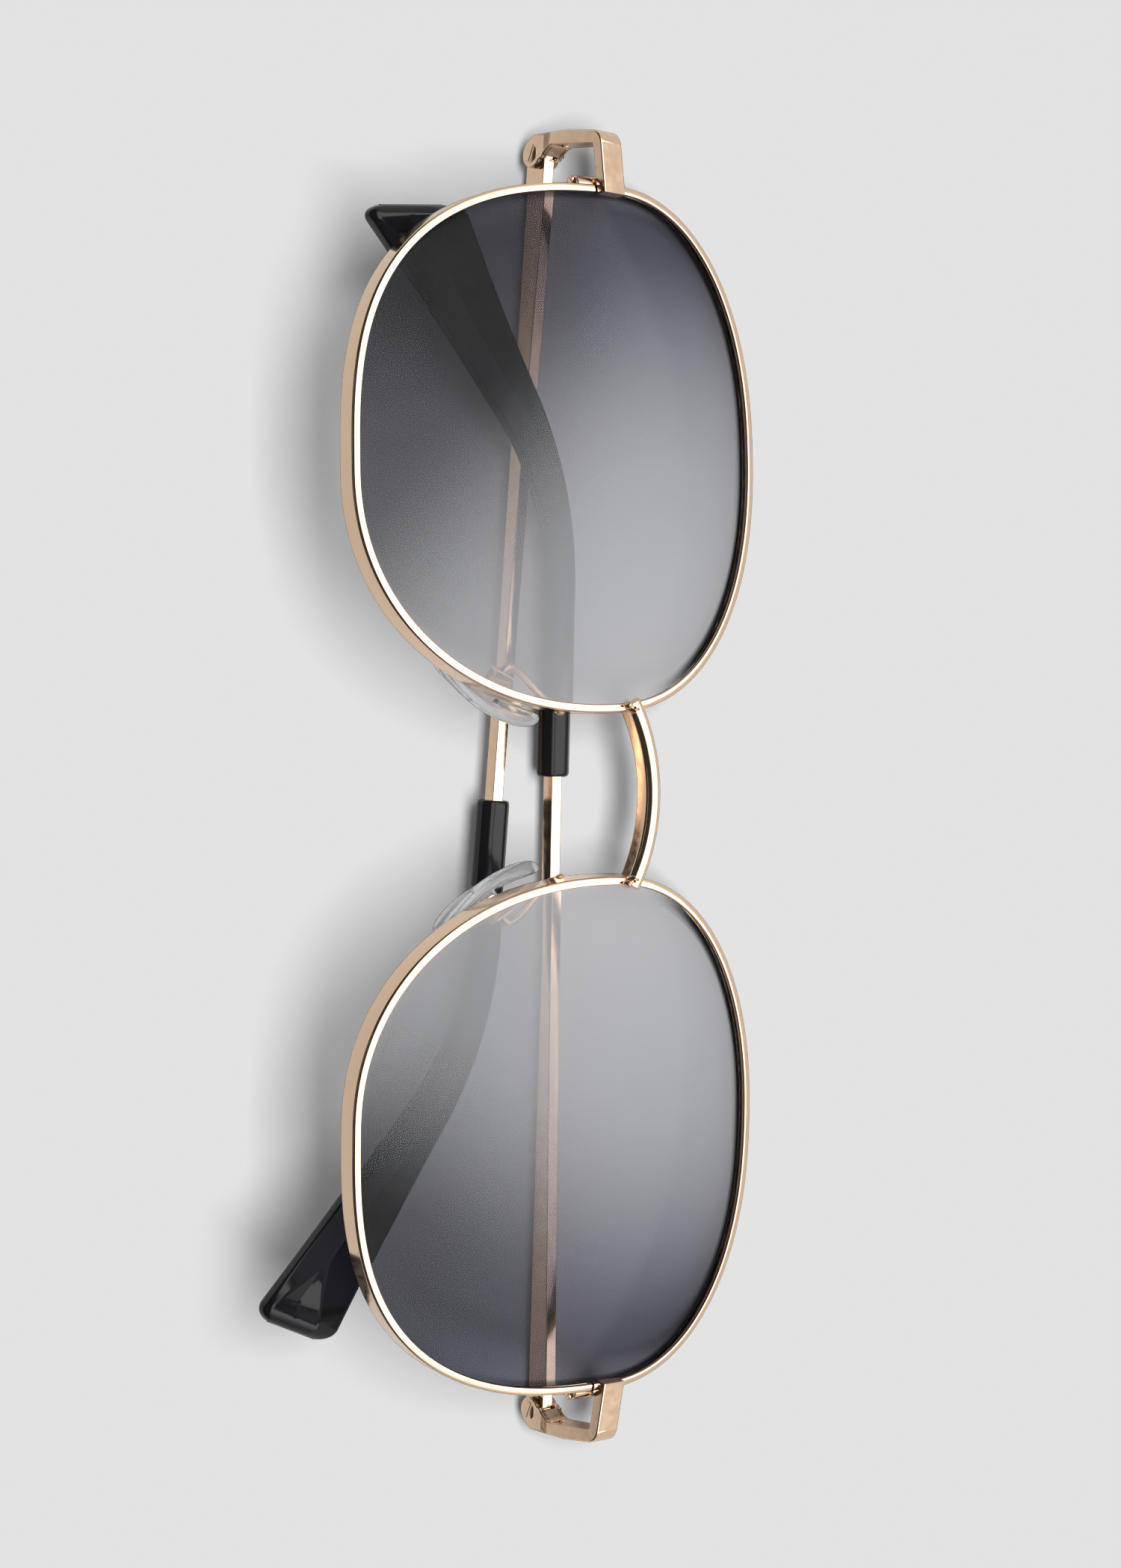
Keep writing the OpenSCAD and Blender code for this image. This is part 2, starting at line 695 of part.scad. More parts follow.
pad_box(RIGHT);  // pad_box_right
pad_box(LEFT);  // pad_box_left
pad_screw(RIGHT);  // pad_screw_right
pad_screw(LEFT);  // pad_screw_left
nose_pad(RIGHT);  // nose_pad_right
nose_pad(LEFT);  // nose_pad_left
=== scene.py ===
# %% [markdown]
# # Folded metal sunglasses
# A lesson in building thin polished metal, tinted lenses and clear pads from surfaces worked out with
# numpy. The solid model of the same object is loaded first, because it says where everything goes and
# how big it is. Each part of the real object then becomes one closed skin, laid where its solid is.

# %% Load the solid model that everything is fitted to
import math

import bmesh
import bpy
import numpy as np
from mathutils import Matrix


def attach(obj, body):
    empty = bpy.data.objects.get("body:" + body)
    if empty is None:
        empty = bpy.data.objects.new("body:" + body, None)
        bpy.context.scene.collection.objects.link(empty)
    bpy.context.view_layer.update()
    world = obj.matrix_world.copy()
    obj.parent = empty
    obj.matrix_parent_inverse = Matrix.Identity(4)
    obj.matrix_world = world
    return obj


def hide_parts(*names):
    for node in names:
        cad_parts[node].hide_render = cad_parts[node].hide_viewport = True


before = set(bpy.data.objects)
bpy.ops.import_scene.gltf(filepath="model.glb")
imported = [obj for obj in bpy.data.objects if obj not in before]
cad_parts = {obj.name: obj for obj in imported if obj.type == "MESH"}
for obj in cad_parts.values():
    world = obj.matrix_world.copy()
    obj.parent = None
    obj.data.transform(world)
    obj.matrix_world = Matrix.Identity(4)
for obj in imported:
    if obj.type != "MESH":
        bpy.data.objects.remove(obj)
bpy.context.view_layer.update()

# %% [markdown]
# ## Where things are
# The sunglasses were designed standing up, with X to the wearer's left, Y up and Z forward, in
# millimetres. They lie on the table on the brow side of the rims, so one matrix leans all of it back.
# Building in the standing frame keeps every formula simple, and the matrix does the rest.

# %% Small matrices that move, turn and mirror
RIGHT, LEFT = -1, 1
SIDES = {"right": RIGHT, "left": LEFT}


def moved(x, y, z):
    """A shift by x, y and z."""
    m = np.eye(4)
    m[:3, 3] = x, y, z
    return m


def turned(axis, degrees):
    """A turn about the X, Y or Z axis, anticlockwise when seen from that axis's positive end."""
    a = math.radians(degrees)
    i, j = {"x": (1, 2), "y": (2, 0), "z": (0, 1)}[axis]
    m = np.eye(4)
    m[i, i] = m[j, j] = math.cos(a)
    m[j, i] = math.sin(a)
    m[i, j] = -math.sin(a)
    return m


mirror_x = np.diag([-1.0, 1, 1, 1])
LIE_TILT, LIE_SHIFT, LIE_HEIGHT = 40.3, 9.05, 19.8428
MM = np.diag([0.001, 0.001, 0.001, 1])
lie = MM @ moved(0, LIE_SHIFT, LIE_HEIGHT) @ turned("x", -LIE_TILT)
print("the origin of the standing frame lies at, in mm:", np.round(lie[:3, 3] * 1000, 2).tolist())


def on_side(side):
    """Nothing for the left side, the mirror at X = 0 for the right one."""
    return mirror_x if side == RIGHT else np.eye(4)


# %% The frames of the eyes, the hinges, the folded temples and the nose pads
LENS_PITCH, WRAP = 74.1, 3.1
PIN_OUT, PIN_UP, PIN_BACK, PIN_LEAN = 69.6, 4.3, 18.2, 8.5
PIN_IN = {RIGHT: 3.7, LEFT: -0.5}
EAR, TONGUE, TONGUE_PLAY = 0.7, 1.35, 0.04
FOLD = {RIGHT: 2.0, LEFT: -1.2}
BARREL_H = 2 * (EAR + TONGUE_PLAY) + TONGUE
PAD_OUT, PAD_DOWN, PAD_BACK = 10.2, 6.5, 9.6


def at_front(side):
    """From one half of the standing front to where it lies."""
    return lie @ on_side(side)


def at_eye(side):
    """From an eye's frame, with the middle of its lens front at the origin, to where it lies."""
    return at_front(side) @ moved(LENS_PITCH / 2, 0, 0) @ turned("y", WRAP)


def at_hinge(side):
    """From a hinge's frame, with its Y along the pin, to where it lies."""
    place = moved(PIN_OUT, PIN_UP, -PIN_BACK)
    return at_front(side) @ place @ turned("x", -PIN_LEAN) @ turned("z", PIN_IN[side])


def at_temple(side):
    """From a temple's frame, with its X along the folded arm and its Y up, to where it lies."""
    middle = moved(0, EAR + TONGUE_PLAY + TONGUE / 2, 0)
    return at_hinge(side) @ mirror_x @ turned("y", FOLD[side]) @ middle


def unit(v):
    """The same direction at length 1."""
    return v / np.linalg.norm(v)


pad_z = unit(np.array([-0.826, -0.466, -0.317]))
pad_up = np.array([-0.49, 0.87, 0])
pad_x = unit(pad_up - pad_z * (pad_up @ pad_z))
pad_axes = np.eye(4)
pad_axes[:3, :3] = np.stack([pad_x, np.cross(pad_z, pad_x), pad_z], axis=1)


def at_pad(side):
    """From a pad's frame, with its X along the pad and its Z towards the nose, to where it lies."""
    return at_front(side) @ moved(PAD_OUT, -PAD_DOWN, -PAD_BACK) @ pad_axes


for word, side in SIDES.items():
    print(f"{word} hinge pin at, in mm:", np.round(at_hinge(side)[:3, 3] * 1000, 1).tolist())

# %% [markdown]
# ## One way to make every skin
# A wire, a lens, a sleeve and a screw head all are a stack of rings: the same number of points round
# each ring, and one ring after another along the piece. The first and last ring are closed flat, with
# a single point, or by joining the last ring to the first. The normals are worked out again at the
# end, so that a mirrored piece isn't inside out.

# %% A skin over a stack of rings
SHARP = math.radians(32)
pieces = []


def through(matrix, points):
    """Points through a 4x4 matrix: turn and scale, then shift."""
    return points @ matrix[:3, :3].T + matrix[:3, 3]


def skin(name, shells, matrix, sharp=SHARP):
    """One mesh over closed shells (rings, ends): quads between neighbours, ends flat, point or loop."""
    points, faces, start = [], [], 0
    for rings, ends in shells:
        rings = np.asarray(rings, float)
        n, m = rings.shape[:2]
        row = start + np.arange(n if ends == "loop" else n - 1)[:, None] * m
        ahead = start + (row - start + m) % (n * m)
        k = np.arange(m)[None, :]
        beside = (k + 1) % m
        quads = np.stack([row + k, row + beside, ahead + beside, ahead + k], axis=-1)
        faces += quads.reshape(-1, 4).tolist()
        points.append(rings.reshape(-1, 3))
        first, last, tip = start + k[0], start + (n - 1) * m + k[0], start + n * m
        start = tip
        if ends == "flat":
            faces += [first[::-1].tolist(), last.tolist()]
        if ends == "point":
            points.append(np.stack([rings[0].mean(0), rings[-1].mean(0)]))
            for end, ring in ((tip, first[::-1]), (tip + 1, last)):
                faces += np.stack([np.full(m, end), ring, np.roll(ring, -1)], axis=-1).tolist()
            start += 2
    mesh = bpy.data.meshes.new(name)
    mesh.from_pydata(through(matrix, np.vstack(points)), [], faces)
    bm = bmesh.new()
    bm.from_mesh(mesh)
    bmesh.ops.recalc_face_normals(bm, faces=bm.faces)
    bm.to_mesh(mesh)
    bm.free()
    mesh.polygons.foreach_set("use_smooth", np.ones(len(mesh.polygons), bool))
    mesh.set_sharp_from_angle(angle=sharp)
    piece = bpy.data.objects.new(name, mesh)
    bpy.context.scene.collection.objects.link(piece)
    weighted = piece.modifiers.new("weighted", "WEIGHTED_NORMAL")
    weighted.keep_sharp = True
    pieces.append(piece)
    return piece


def finish_piece(piece, material, body, slot, *nodes):
    """Gives a piece its material and the body it rides on, and hides the solids it stands for; slot is not
    used.
    """
    piece.data.materials.append(material)
    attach(piece, body)
    if nodes:
        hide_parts(*nodes)
    print(f"{piece.name}: {len(piece.data.polygons)} faces on {body}")


def pair(name, shells, at, material, body, slot, node=None, sharp=SHARP):
    """The same shells once on each side, where at(side) puts them; {} in a name stands for the side."""
    for word, side in SIDES.items():
        piece = skin(name.format(word), shells, at(side), sharp)
        nodes = [node.format(word)] if node else []
        finish_piece(piece, material, body.format(word), slot, *nodes)


# %% [markdown]
# ## Outlines
# The rings come from a few plain outlines. Real metal edges are always a little rounded, because they
# are tumbled and polished before plating, and a rounded edge is what catches the light. So a plate here
# is never a bare extrusion: its outline is drawn in a little at both faces.

# %% Outlines that the rings are made of
def rounded_box(width, height, r, steps=6):
    """A rectangle about the origin whose corners are quarter circles of radius r, as points in a ring."""
    a = np.radians(np.concatenate([np.linspace(q, q + 90, steps) for q in (0, 90, 180, 270)]))
    sx = np.repeat([1, -1, -1, 1], steps) * (width / 2 - r)
    sy = np.repeat([1, 1, -1, -1], steps) * (height / 2 - r)
    return np.stack([sx + r * np.cos(a), sy + r * np.sin(a)], axis=1)


def circle(r, steps=48):
    """Evenly spaced points r cos, r sin."""
    a = np.radians(np.arange(steps) * 360 / steps)
    return np.stack([r * np.cos(a), r * np.sin(a)], axis=1)


def arc(centre, r, start, end, steps=16):
    """Points from angle start to angle end on a circle about centre."""
    a = np.radians(np.linspace(start, end, steps + 1))
    return np.array(centre) + r * np.stack([np.cos(a), np.sin(a)], axis=1)


def normals_of(outline):
    """The direction out of a closed ring: the run from the point behind to the point ahead, turned."""
    run = np.roll(outline, -1, axis=0) - np.roll(outline, 1, axis=0)
    run = run / np.linalg.norm(run, axis=1, keepdims=True)
    return np.stack([run[:, 1], -run[:, 0]], axis=1)


def slab(outline, low, high, r, steps=5):
    """Rings of a flat plate in X, Z and height Y: the outline, drawn in by r at both faces."""
    n = normals_of(outline)
    a = np.radians(np.linspace(0, 90, steps))
    inset = np.concatenate([r * (1 - np.sin(a)), r * (1 - np.sin(a[::-1]))])
    height = np.concatenate([low + r * (1 - np.cos(a)), high - r * (1 - np.cos(a[::-1]))])
    flat = outline[None] - inset[:, None, None] * n[None]
    y = np.broadcast_to(height[:, None], flat.shape[:2])
    return np.stack([flat[..., 0], y, flat[..., 1]], axis=-1)


def turned_about_y(profile, steps=48):
    """Rings of a round piece: profile's radius and height carried round the Y axis."""
    c = circle(1, steps)
    profile = np.asarray(profile, float)
    y = np.broadcast_to(profile[:, 1, None], (len(profile), steps))
    return np.stack([profile[:, 0, None] * c[:, 0], y, profile[:, 0, None] * c[:, 1]], axis=-1)


# %% [markdown]
# ## The camera
# The photograph was taken from above and a little towards the chin, with a long lens, so the camera
# stands 0.36 m away. Its place was worked out from the hinges, the rims and the bridge in the picture.
# The frame is upright and the sensor's 36 mm lie along its longer side.

# %% The camera
IMAGE_H, SENSOR = 2098, 36.0
PX_PER_MM, CAMERA_FAR = 12.7, 360
SHIFT_PX = (-23.5, 17.8)
camera_at = np.array([-19.59, -178.85, 311.74])
view_from = unit(np.array([-0.0544, -0.4969, 0.8661]))
roll = math.radians(5.56)
level = unit(np.cross(-view_from, [0, 0, 1.0]))
above = np.cross(level, -view_from)
image_x = math.cos(roll) * above - math.sin(roll) * level
image_down = math.sin(roll) * above + math.cos(roll) * level

camera_data = bpy.data.cameras.new("camera")
camera_data.sensor_width = SENSOR
camera_data.lens = PX_PER_MM * CAMERA_FAR / IMAGE_H * SENSOR
camera_data.shift_x, camera_data.shift_y = (px / IMAGE_H for px in SHIFT_PX)
camera_data.clip_start, camera_data.clip_end = 0.01, 50
camera = bpy.data.objects.new("camera", camera_data)
bpy.context.scene.collection.objects.link(camera)
turn = np.eye(4)
turn[:3, :3] = turned("x", -LIE_TILT)[:3, :3] @ np.stack([image_x, -image_down, view_from], axis=1)
turn[:3, 3] = through(lie, camera_at)
camera.matrix_world = Matrix(turn.tolist())
bpy.context.scene.camera = camera
bpy.context.scene.view_settings.view_transform = "Standard"
print("camera at", [round(v, 3) for v in camera.location], "lens", round(camera_data.lens, 1))

# %% [markdown]
# ## Light
# One soft lamp stands high on the brow side, so that the shadows fall softly towards the chin side. A
# mirror image of it in the metal would be small and harsh, so this lamp lights matt faces only. A
# second, long and thin one gives hardly any light: it is there to be mirrored in the faces that look
# towards the chin.

# %% The lamps
def soft_lamp(name, azimuth, elevation, distance, width, height, watts):
    """A rectangular lamp aimed at the origin, from an azimuth anticlockwise from +X and an elevation."""
    data = bpy.data.lights.new(name, "AREA")
    data.shape, data.size, data.size_y, data.energy = "RECTANGLE", width, height, watts
    lamp = bpy.data.objects.new(name, data)
    a, e = math.radians(azimuth), math.radians(elevation)
    back = np.array([math.cos(a) * math.cos(e), math.sin(a) * math.cos(e), math.sin(e)])
    side = unit(np.cross([0, 0, 1.0], back))
    pose = np.eye(4)
    pose[:3, :3] = np.stack([side, np.cross(back, side), back], axis=1)
    pose[:3, 3] = back * distance
    lamp.matrix_world = Matrix(pose.tolist())
    bpy.context.scene.collection.objects.link(lamp)
    print(name, "gives", watts, "W from", distance, "m")
    return lamp


key_lamp = soft_lamp("key_lamp", 90, 66, distance=1.0, width=0.6, height=0.24, watts=8.4)
key_lamp.visible_glossy = key_lamp.visible_transmission = False
chin_card = soft_lamp("chin_card", 262, 40, distance=1.2, width=0.9, height=0.06, watts=0.12)
chin_card.visible_diffuse = chin_card.visible_transmission = False

# %% [markdown]
# ## The sky
# Polished metal has hardly a look of its own: it shows the room. The room could be modelled, but a sky
# that answers each kind of ray in its own way does the same with a few nodes. The camera sees the
# paper's colour, matt faces get a weak grey that fills the shadows, a lens passes a paler grey on, and
# polished faces see a dark room with one bright wall on the brow side.

# %% Nodes for the sky
sky = bpy.data.worlds.new("sky")
bpy.context.scene.world = sky
sky.use_nodes = True
nodes, links = sky.node_tree.nodes, sky.node_tree.links
nodes.clear()


def backdrop(colour):
    """A plain background of one colour."""
    node = nodes.new("ShaderNodeBackground")
    node.inputs["Color"].default_value = (*colour, 1)
    return node


def mixed(fac, first, second):
    """A node that gives the first background where fac is 0 and the second where it is 1."""
    node = nodes.new("ShaderNodeMixShader")
    links.new(fac, node.inputs["Fac"])
    links.new(first.outputs[0], node.inputs[1])
    links.new(second.outputs[0], node.inputs[2])
    return node


def math_node(kind, *values):
    """A Math node of one kind; a value is a number or an output socket."""
    node = nodes.new("ShaderNodeMath")
    node.operation = kind
    for socket, value in zip(node.inputs, values):
        if isinstance(value, (int, float)):
            socket.default_value = value
        else:
            links.new(value, socket)
    return node.outputs[0]


def eased(value, start, end, low, high):
    """The value's range from start to end eased over low to high."""
    node = nodes.new("ShaderNodeMapRange")
    node.interpolation_type = "SMOOTHSTEP"
    for key, number in {"From Min": start, "From Max": end, "To Min": low, "To Max": high}.items():
        node.inputs[key].default_value = number
    links.new(value, node.inputs["Value"])
    return node.outputs["Result"]


# %% The bright wall: a band of directions that fades out far along X
WALL_TILT = math.radians(63)
WALL_FROM, WALL_FULL = 0.62, 0.86
FADE_FROM, FADE_TO, FADE_LEFT = 0.55, 0.95, 0.15
WALL, DARK = 2.8, 0.04
direction = nodes.new("ShaderNodeTexCoord")
axes = nodes.new("ShaderNodeSeparateXYZ")
links.new(direction.outputs["Generated"], axes.inputs[0])
# the direction without its X, set against the wall's middle: (Y sin + Z cos) over its own length
part_y = math_node("MULTIPLY", axes.outputs["Y"], math.sin(WALL_TILT))
part_z = math_node("MULTIPLY", axes.outputs["Z"], math.cos(WALL_TILT))
x_squared = math_node("MULTIPLY", axes.outputs["X"], axes.outputs["X"])
without_x = math_node("SQRT", math_node("SUBTRACT", 1.0001, x_squared))
aim = math_node("DIVIDE", math_node("ADD", part_y, part_z), without_x)
band = eased(aim, WALL_FROM, WALL_FULL, 0.0, 1.0)
fade = eased(math_node("ABSOLUTE", axes.outputs["X"]), FADE_FROM, FADE_TO, 1.0, FADE_LEFT)
glow = math_node("MULTIPLY", math_node("MULTIPLY", band, fade), WALL)
studio = backdrop((1, 1, 1))
links.new(math_node("ADD", glow, DARK), studio.inputs["Strength"])
print("the wall is", WALL, "bright, the rest of the room", DARK)

# %% What each kind of ray sees
PAPER = (0.76, 0.765, 0.76)
FILL_GREY, THROUGH_GREY = 0.14, 0.45
path = nodes.new("ShaderNodeLightPath")
out = nodes.new("ShaderNodeOutputWorld")
fill, through_lens = backdrop([FILL_GREY] * 3), backdrop([THROUGH_GREY] * 3)
plain = mixed(path.outputs["Is Transmission Ray"], fill, through_lens)
indirect = mixed(path.outputs["Is Glossy Ray"], plain, studio)
surface = mixed(path.outputs["Is Camera Ray"], indirect, backdrop(PAPER))
links.new(surface.outputs[0], out.inputs["Surface"])
print("nodes in the sky:", len(nodes))

# %% [markdown]
# ## Metal and plastic
# The frame is plated in a polished rose gold and the ear sleeves are moulded in glossy black plastic.
# Neither is evenly smooth: handling leaves patches that are a little duller. A picture of smudges could
# give that, but soft noise that moves the roughness between two values never repeats and follows the
# object in every pose.

# %% A Principled shader and a roughness that wanders
NOISE_LOW, NOISE_HIGH = 0.3, 0.7


def new_material(name, **values):
    """A material whose Principled sockets take the given values; returns it, its nodes and its shader."""
    made = bpy.data.materials.new(name)
    made.use_nodes = True
    tree = made.node_tree
    shader = tree.nodes["Principled BSDF"]
    for key, value in values.items():
        socket = shader.inputs[key.replace("_", " ").title().replace("Ior", "IOR")]
        socket.default_value = value
    print("material", name)
    return made, tree, shader


def wandering(tree, socket, scale, low, high):
    """Links a socket to smooth noise on object coordinates, scale waves to the metre, from low to high."""
    where = tree.nodes.new("ShaderNodeTexCoord")
    grain = tree.nodes.new("ShaderNodeTexNoise")
    grain.inputs["Scale"].default_value = scale
    grain.inputs["Detail"].default_value = 2.0
    ranged = tree.nodes.new("ShaderNodeMapRange")
    limits = {"From Min": NOISE_LOW, "From Max": NOISE_HIGH, "To Min": low, "To Max": high}
    for key, number in limits.items():
        ranged.inputs[key].default_value = number
    tree.links.new(where.outputs["Object"], grain.inputs["Vector"])
    tree.links.new(grain.outputs["Fac"], ranged.inputs["Value"])
    tree.links.new(ranged.outputs["Result"], socket)


# %% Polished rose gold plate and glossy black sleeves
gold, tree, shader = new_material("rose_gold", base_color=(0.89, 0.63, 0.44, 1), metallic=1.0)
wandering(tree, shader.inputs["Roughness"], 900, 0.07, 0.16)
black_colour = (0.009, 0.009, 0.011, 1)
black, tree, shader = new_material("black_sleeve", base_color=black_colour, specular_ior_level=0.28)
wandering(tree, shader.inputs["Roughness"], 400, 0.06, 0.13)

# %% [markdown]
# ## Clear pads
# The nose pads are soft clear plastic. Blender's lamps don't shine through a refracting shader unless
# caustics are worked out, which is slow, so the pads would cast black shadows. A tinted see-through
# film answers the lamps' rays instead, and the refracting shader answers all others.

# %% Clear soft plastic that lets the lamps through
def blend(tree, fac, first, second):
    """The first shader where fac is 0 and the second where it is 1."""
    node = tree.nodes.new("ShaderNodeMixShader")
    tree.links.new(fac, node.inputs["Fac"])
    tree.links.new(first, node.inputs[1])
    tree.links.new(second, node.inputs[2])
    return node.outputs[0]


def film_for_lamps(tree, look, colour):
    """Links a look to the material's output, with a see-through film of one colour for shadow rays."""
    path = tree.nodes.new("ShaderNodeLightPath")
    film = tree.nodes.new("ShaderNodeBsdfTransparent")
    film.inputs["Color"].default_value = (*colour, 1)
    both = blend(tree, path.outputs["Is Shadow Ray"], look, film.outputs[0])
    tree.links.new(both, tree.nodes["Material Output"].inputs["Surface"])


PAD_COLOUR = (0.95, 0.96, 0.975)
pad_clear, tree, shader = new_material(
    "clear_pad", base_color=(*PAD_COLOUR, 1), ior=1.38, transmission_weight=0.8
)
wandering(tree, shader.inputs["Roughness"], 700, 0.03, 0.1)
film_for_lamps(tree, shader.outputs[0], PAD_COLOUR)

# %% [markdown]
# ## Tinted lenses
# A sun lens is tinted glass or plastic, and its front shows a veil of light from the sky. A plain
# glass shader would show too little of either, so each face mixes four shaders: refraction with a
# tint, a flat diffuse layer of painted light or shade (on the front a grey painted reflection of the
# sky, on the back black painted shade), a weak sharp gloss, and the film for the lamps. How dense the
# painted layer is and how deep the tint is differ from place to place, so both are read from the
# lens's own map.

# %% The faces of a lens
LENS_IOR, GLOSS_SHARE = 1.5, 0.13


def tint_between(tree, fac, light, deep):
    """A colour that goes from light to deep as fac goes from 0 to 1."""
    tint = tree.nodes.new("ShaderNodeMix")
    tint.data_type = "RGBA"
    tint.inputs["A"].default_value = (*light, 1)
    tint.inputs["B"].default_value = (*deep, 1)
    tree.links.new(fac, tint.inputs["Factor"])
    return tint.outputs["Result"]


def weak_gloss(tree):
    """How much of a face mirrors, Fresnel times a share, and a glossy shader whose roughness wanders."""
    shine = tree.nodes.new("ShaderNodeBsdfGlossy")
    wandering(tree, shine.inputs["Roughness"], 120, 0.02, 0.05)
    mirrored = tree.nodes.new("ShaderNodeFresnel")
    mirrored.inputs["IOR"].default_value = LENS_IOR
    weak = tree.nodes.new("ShaderNodeMath")
    weak.operation = "MULTIPLY"
    weak.inputs[1].default_value = GLOSS_SHARE
    tree.links.new(mirrored.outputs[0], weak.inputs[0])
    return weak.outputs[0], shine.outputs[0]


def lens_material(name, painted_light_colour, film_colour, tints=None):
    """A see-through face behind a painted layer of light or shade, as dense as the map's U, with a tint
    between two by the map's V.
    """
    made, tree, shader = new_material(name)
    tree.nodes.remove(shader)
    share = tree.nodes.new("ShaderNodeUVMap")
    share.uv_map = "share"
    axes = tree.nodes.new("ShaderNodeSeparateXYZ")
    tree.links.new(share.outputs["UV"], axes.inputs[0])
    glass = tree.nodes.new("ShaderNodeBsdfRefraction")
    glass.inputs["Color"].default_value = (1, 1, 1, 1)
    glass.inputs["Roughness"].default_value = 0.0
    glass.inputs["IOR"].default_value = LENS_IOR
    if tints:
        tree.links.new(tint_between(tree, axes.outputs["Y"], *tints), glass.inputs["Color"])
    # a flat diffuse colour mixed in by the map's U: painted reflection on the front, painted shade on the
    # back
    painted_light = tree.nodes.new("ShaderNodeBsdfDiffuse")
    painted_light.inputs["Color"].default_value = (*painted_light_colour, 1)
    look = blend(tree, axes.outputs["X"], glass.outputs[0], painted_light.outputs[0])
    share_mirrored, shine = weak_gloss(tree)
    film_for_lamps(tree, blend(tree, share_mirrored, look, shine), film_colour)
    return made


# %% The front with its painted reflection, the tinted back with its painted shade, and the black edge
# the front's grey is a painted reflection of the sky; the black is painted shade on the back and at the edge
PAINTED_REFLECTION_COLOUR, PAINTED_SHADE_BLACK, LENS_SHADOW = (0.74, 0.745, 0.78), (0.004, 0.004, 0.005), (0.26, 0.262, 0.275)
LIGHT_TINT, DEEP_TINT = (0.75, 0.75, 0.765), (0.27, 0.276, 0.345)
lens_front = lens_material("lens_front", PAINTED_REFLECTION_COLOUR, (1, 1, 1))
lens_back = lens_material("lens_back", PAINTED_SHADE_BLACK, LENS_SHADOW, (LIGHT_TINT, DEEP_TINT))
# the bevel's faces are painted black: painted shade of the rim's groove seen through the lens
lens_edge_painted_shade, tree, shader = new_material("lens_edge_painted_shade", base_color=(*PAINTED_SHADE_BLACK, 1), roughness=0.4)

# %% [markdown]
# ## The table
# The sunglasses lie on a large sheet of plain pale paper. The floor only has to keep their shadow, so
# it is a shadow catcher: it lets the sky's colour show wherever no shadow falls.

# %% A floor that keeps the shadow
FLOOR_HALF = 1.5
floor_mesh = bpy.data.meshes.new("floor")
corners = FLOOR_HALF * np.array([[-1, -1, 0], [1, -1, 0], [1, 1, 0], [-1, 1, 0]])
floor_mesh.from_pydata(corners, [], [[0, 1, 2, 3]])
floor = bpy.data.objects.new("floor", floor_mesh)
bpy.context.scene.collection.objects.link(floor)
paper, tree, shader = new_material("paper", base_color=(*PAPER, 1), roughness=1.0, specular_ior_level=0.0)
floor_mesh.materials.append(paper)
floor.is_shadow_catcher = True
print("floor:", 2 * FLOOR_HALF, "m wide")

# %% [markdown]
# ## The eye's outline
# The eye is the shape that the lens is cut to. It could be traced as a free curve, but four quarters of
# a squarish ellipse come down to the same with a dozen numbers, and stay smooth when one is changed.
# The lens front is part of a ball of 88 mm radius, so a point's depth follows from its place.

# %% Sizes of eye, lens and rim
EYE_OUT, EYE_IN, EYE_TOP, EYE_SOLE = 27.4, 27.2, 22.5, 24.0
PEAK_IN, SOLE_IN, WIDE_OUT_UP, WIDE_IN_UP = -0.2, 2.7, 7.0, 4.9
CORNER_POWERS = (2.4, 2.55, 2.13, 2.64)
BASE_R, LENS_T = 88.0, 1.9
RIM_W, RIM_DEPTH, RIM_LIP = 0.9, 2.9, 0.5
GROOVE_D, GROOVE_W, LENS_PLAY = 0.4, 0.9, 0.03
LOCK_UP, LOCK_GAP = 5.3, 0.3
QUARTER_STEPS = 720


# %% The eye's outline, and the ball that the lens fronts lie on
def eye_outline():
    """The eye in four quarters: middle + half size x |cos|^(2/p) and |sin|^(2/p) of an even angle."""
    middle_x = (-PEAK_IN, -PEAK_IN, -SOLE_IN, -SOLE_IN)
    middle_y = (WIDE_OUT_UP, WIDE_IN_UP, WIDE_IN_UP, WIDE_OUT_UP)
    half_x = (EYE_OUT + PEAK_IN, EYE_IN - PEAK_IN, EYE_IN - SOLE_IN, EYE_OUT + SOLE_IN)
    half_y = (EYE_TOP - WIDE_OUT_UP, EYE_TOP - WIDE_IN_UP, EYE_SOLE + WIDE_IN_UP, EYE_SOLE + WIDE_OUT_UP)
    parts = []
    for q, p in enumerate(CORNER_POWERS):
        a = np.radians(np.linspace(90 * q, 90 * q + 90, QUARTER_STEPS + 1)[:-1])
        x = np.sign(np.cos(a)) * np.abs(np.cos(a)) ** (2 / p)
        y = np.sign(np.sin(a)) * np.abs(np.sin(a)) ** (2 / p)
        parts.append(np.stack([middle_x[q] + half_x[q] * x, middle_y[q] + half_y[q] * y], axis=1))
    return np.concatenate(parts)


def run_length(points):
    """The length of the run from the first point to each one: the steps' lengths summed up."""
    return np.concatenate([[0], np.cumsum(np.linalg.norm(np.diff(points, axis=0), axis=1))])


def on_ball(flat, depth):
    """The ball's height over X and Y: sqrt((base - depth)^2 - X^2 - Y^2) - base, 0 at the front's middle."""
    return np.sqrt((BASE_R - depth) ** 2 - (flat**2).sum(-1)) - BASE_R


fine = eye_outline()
closed = np.vstack([fine, fine[:1]])
length = run_length(closed)
print("eye outline", round(length[-1], 1), "mm round")


def eye_points(start, end, steps, loop):
    """Evenly spaced points on the outline between two lengths, and the outward normal at each."""
    s = np.linspace(start, end, steps, endpoint=not loop) % length[-1]
    step = 0.05
    at = []
    for shift in (0.0, step, -step):
        t = (s + shift) % length[-1]
        at.append(np.stack([np.interp(t, length, closed[:, i]) for i in (0, 1)], axis=1))
    run = at[1] - at[2]
    run /= np.linalg.norm(run, axis=1, keepdims=True)
    return at[0], np.stack([run[:, 1], -run[:, 0]], axis=1)


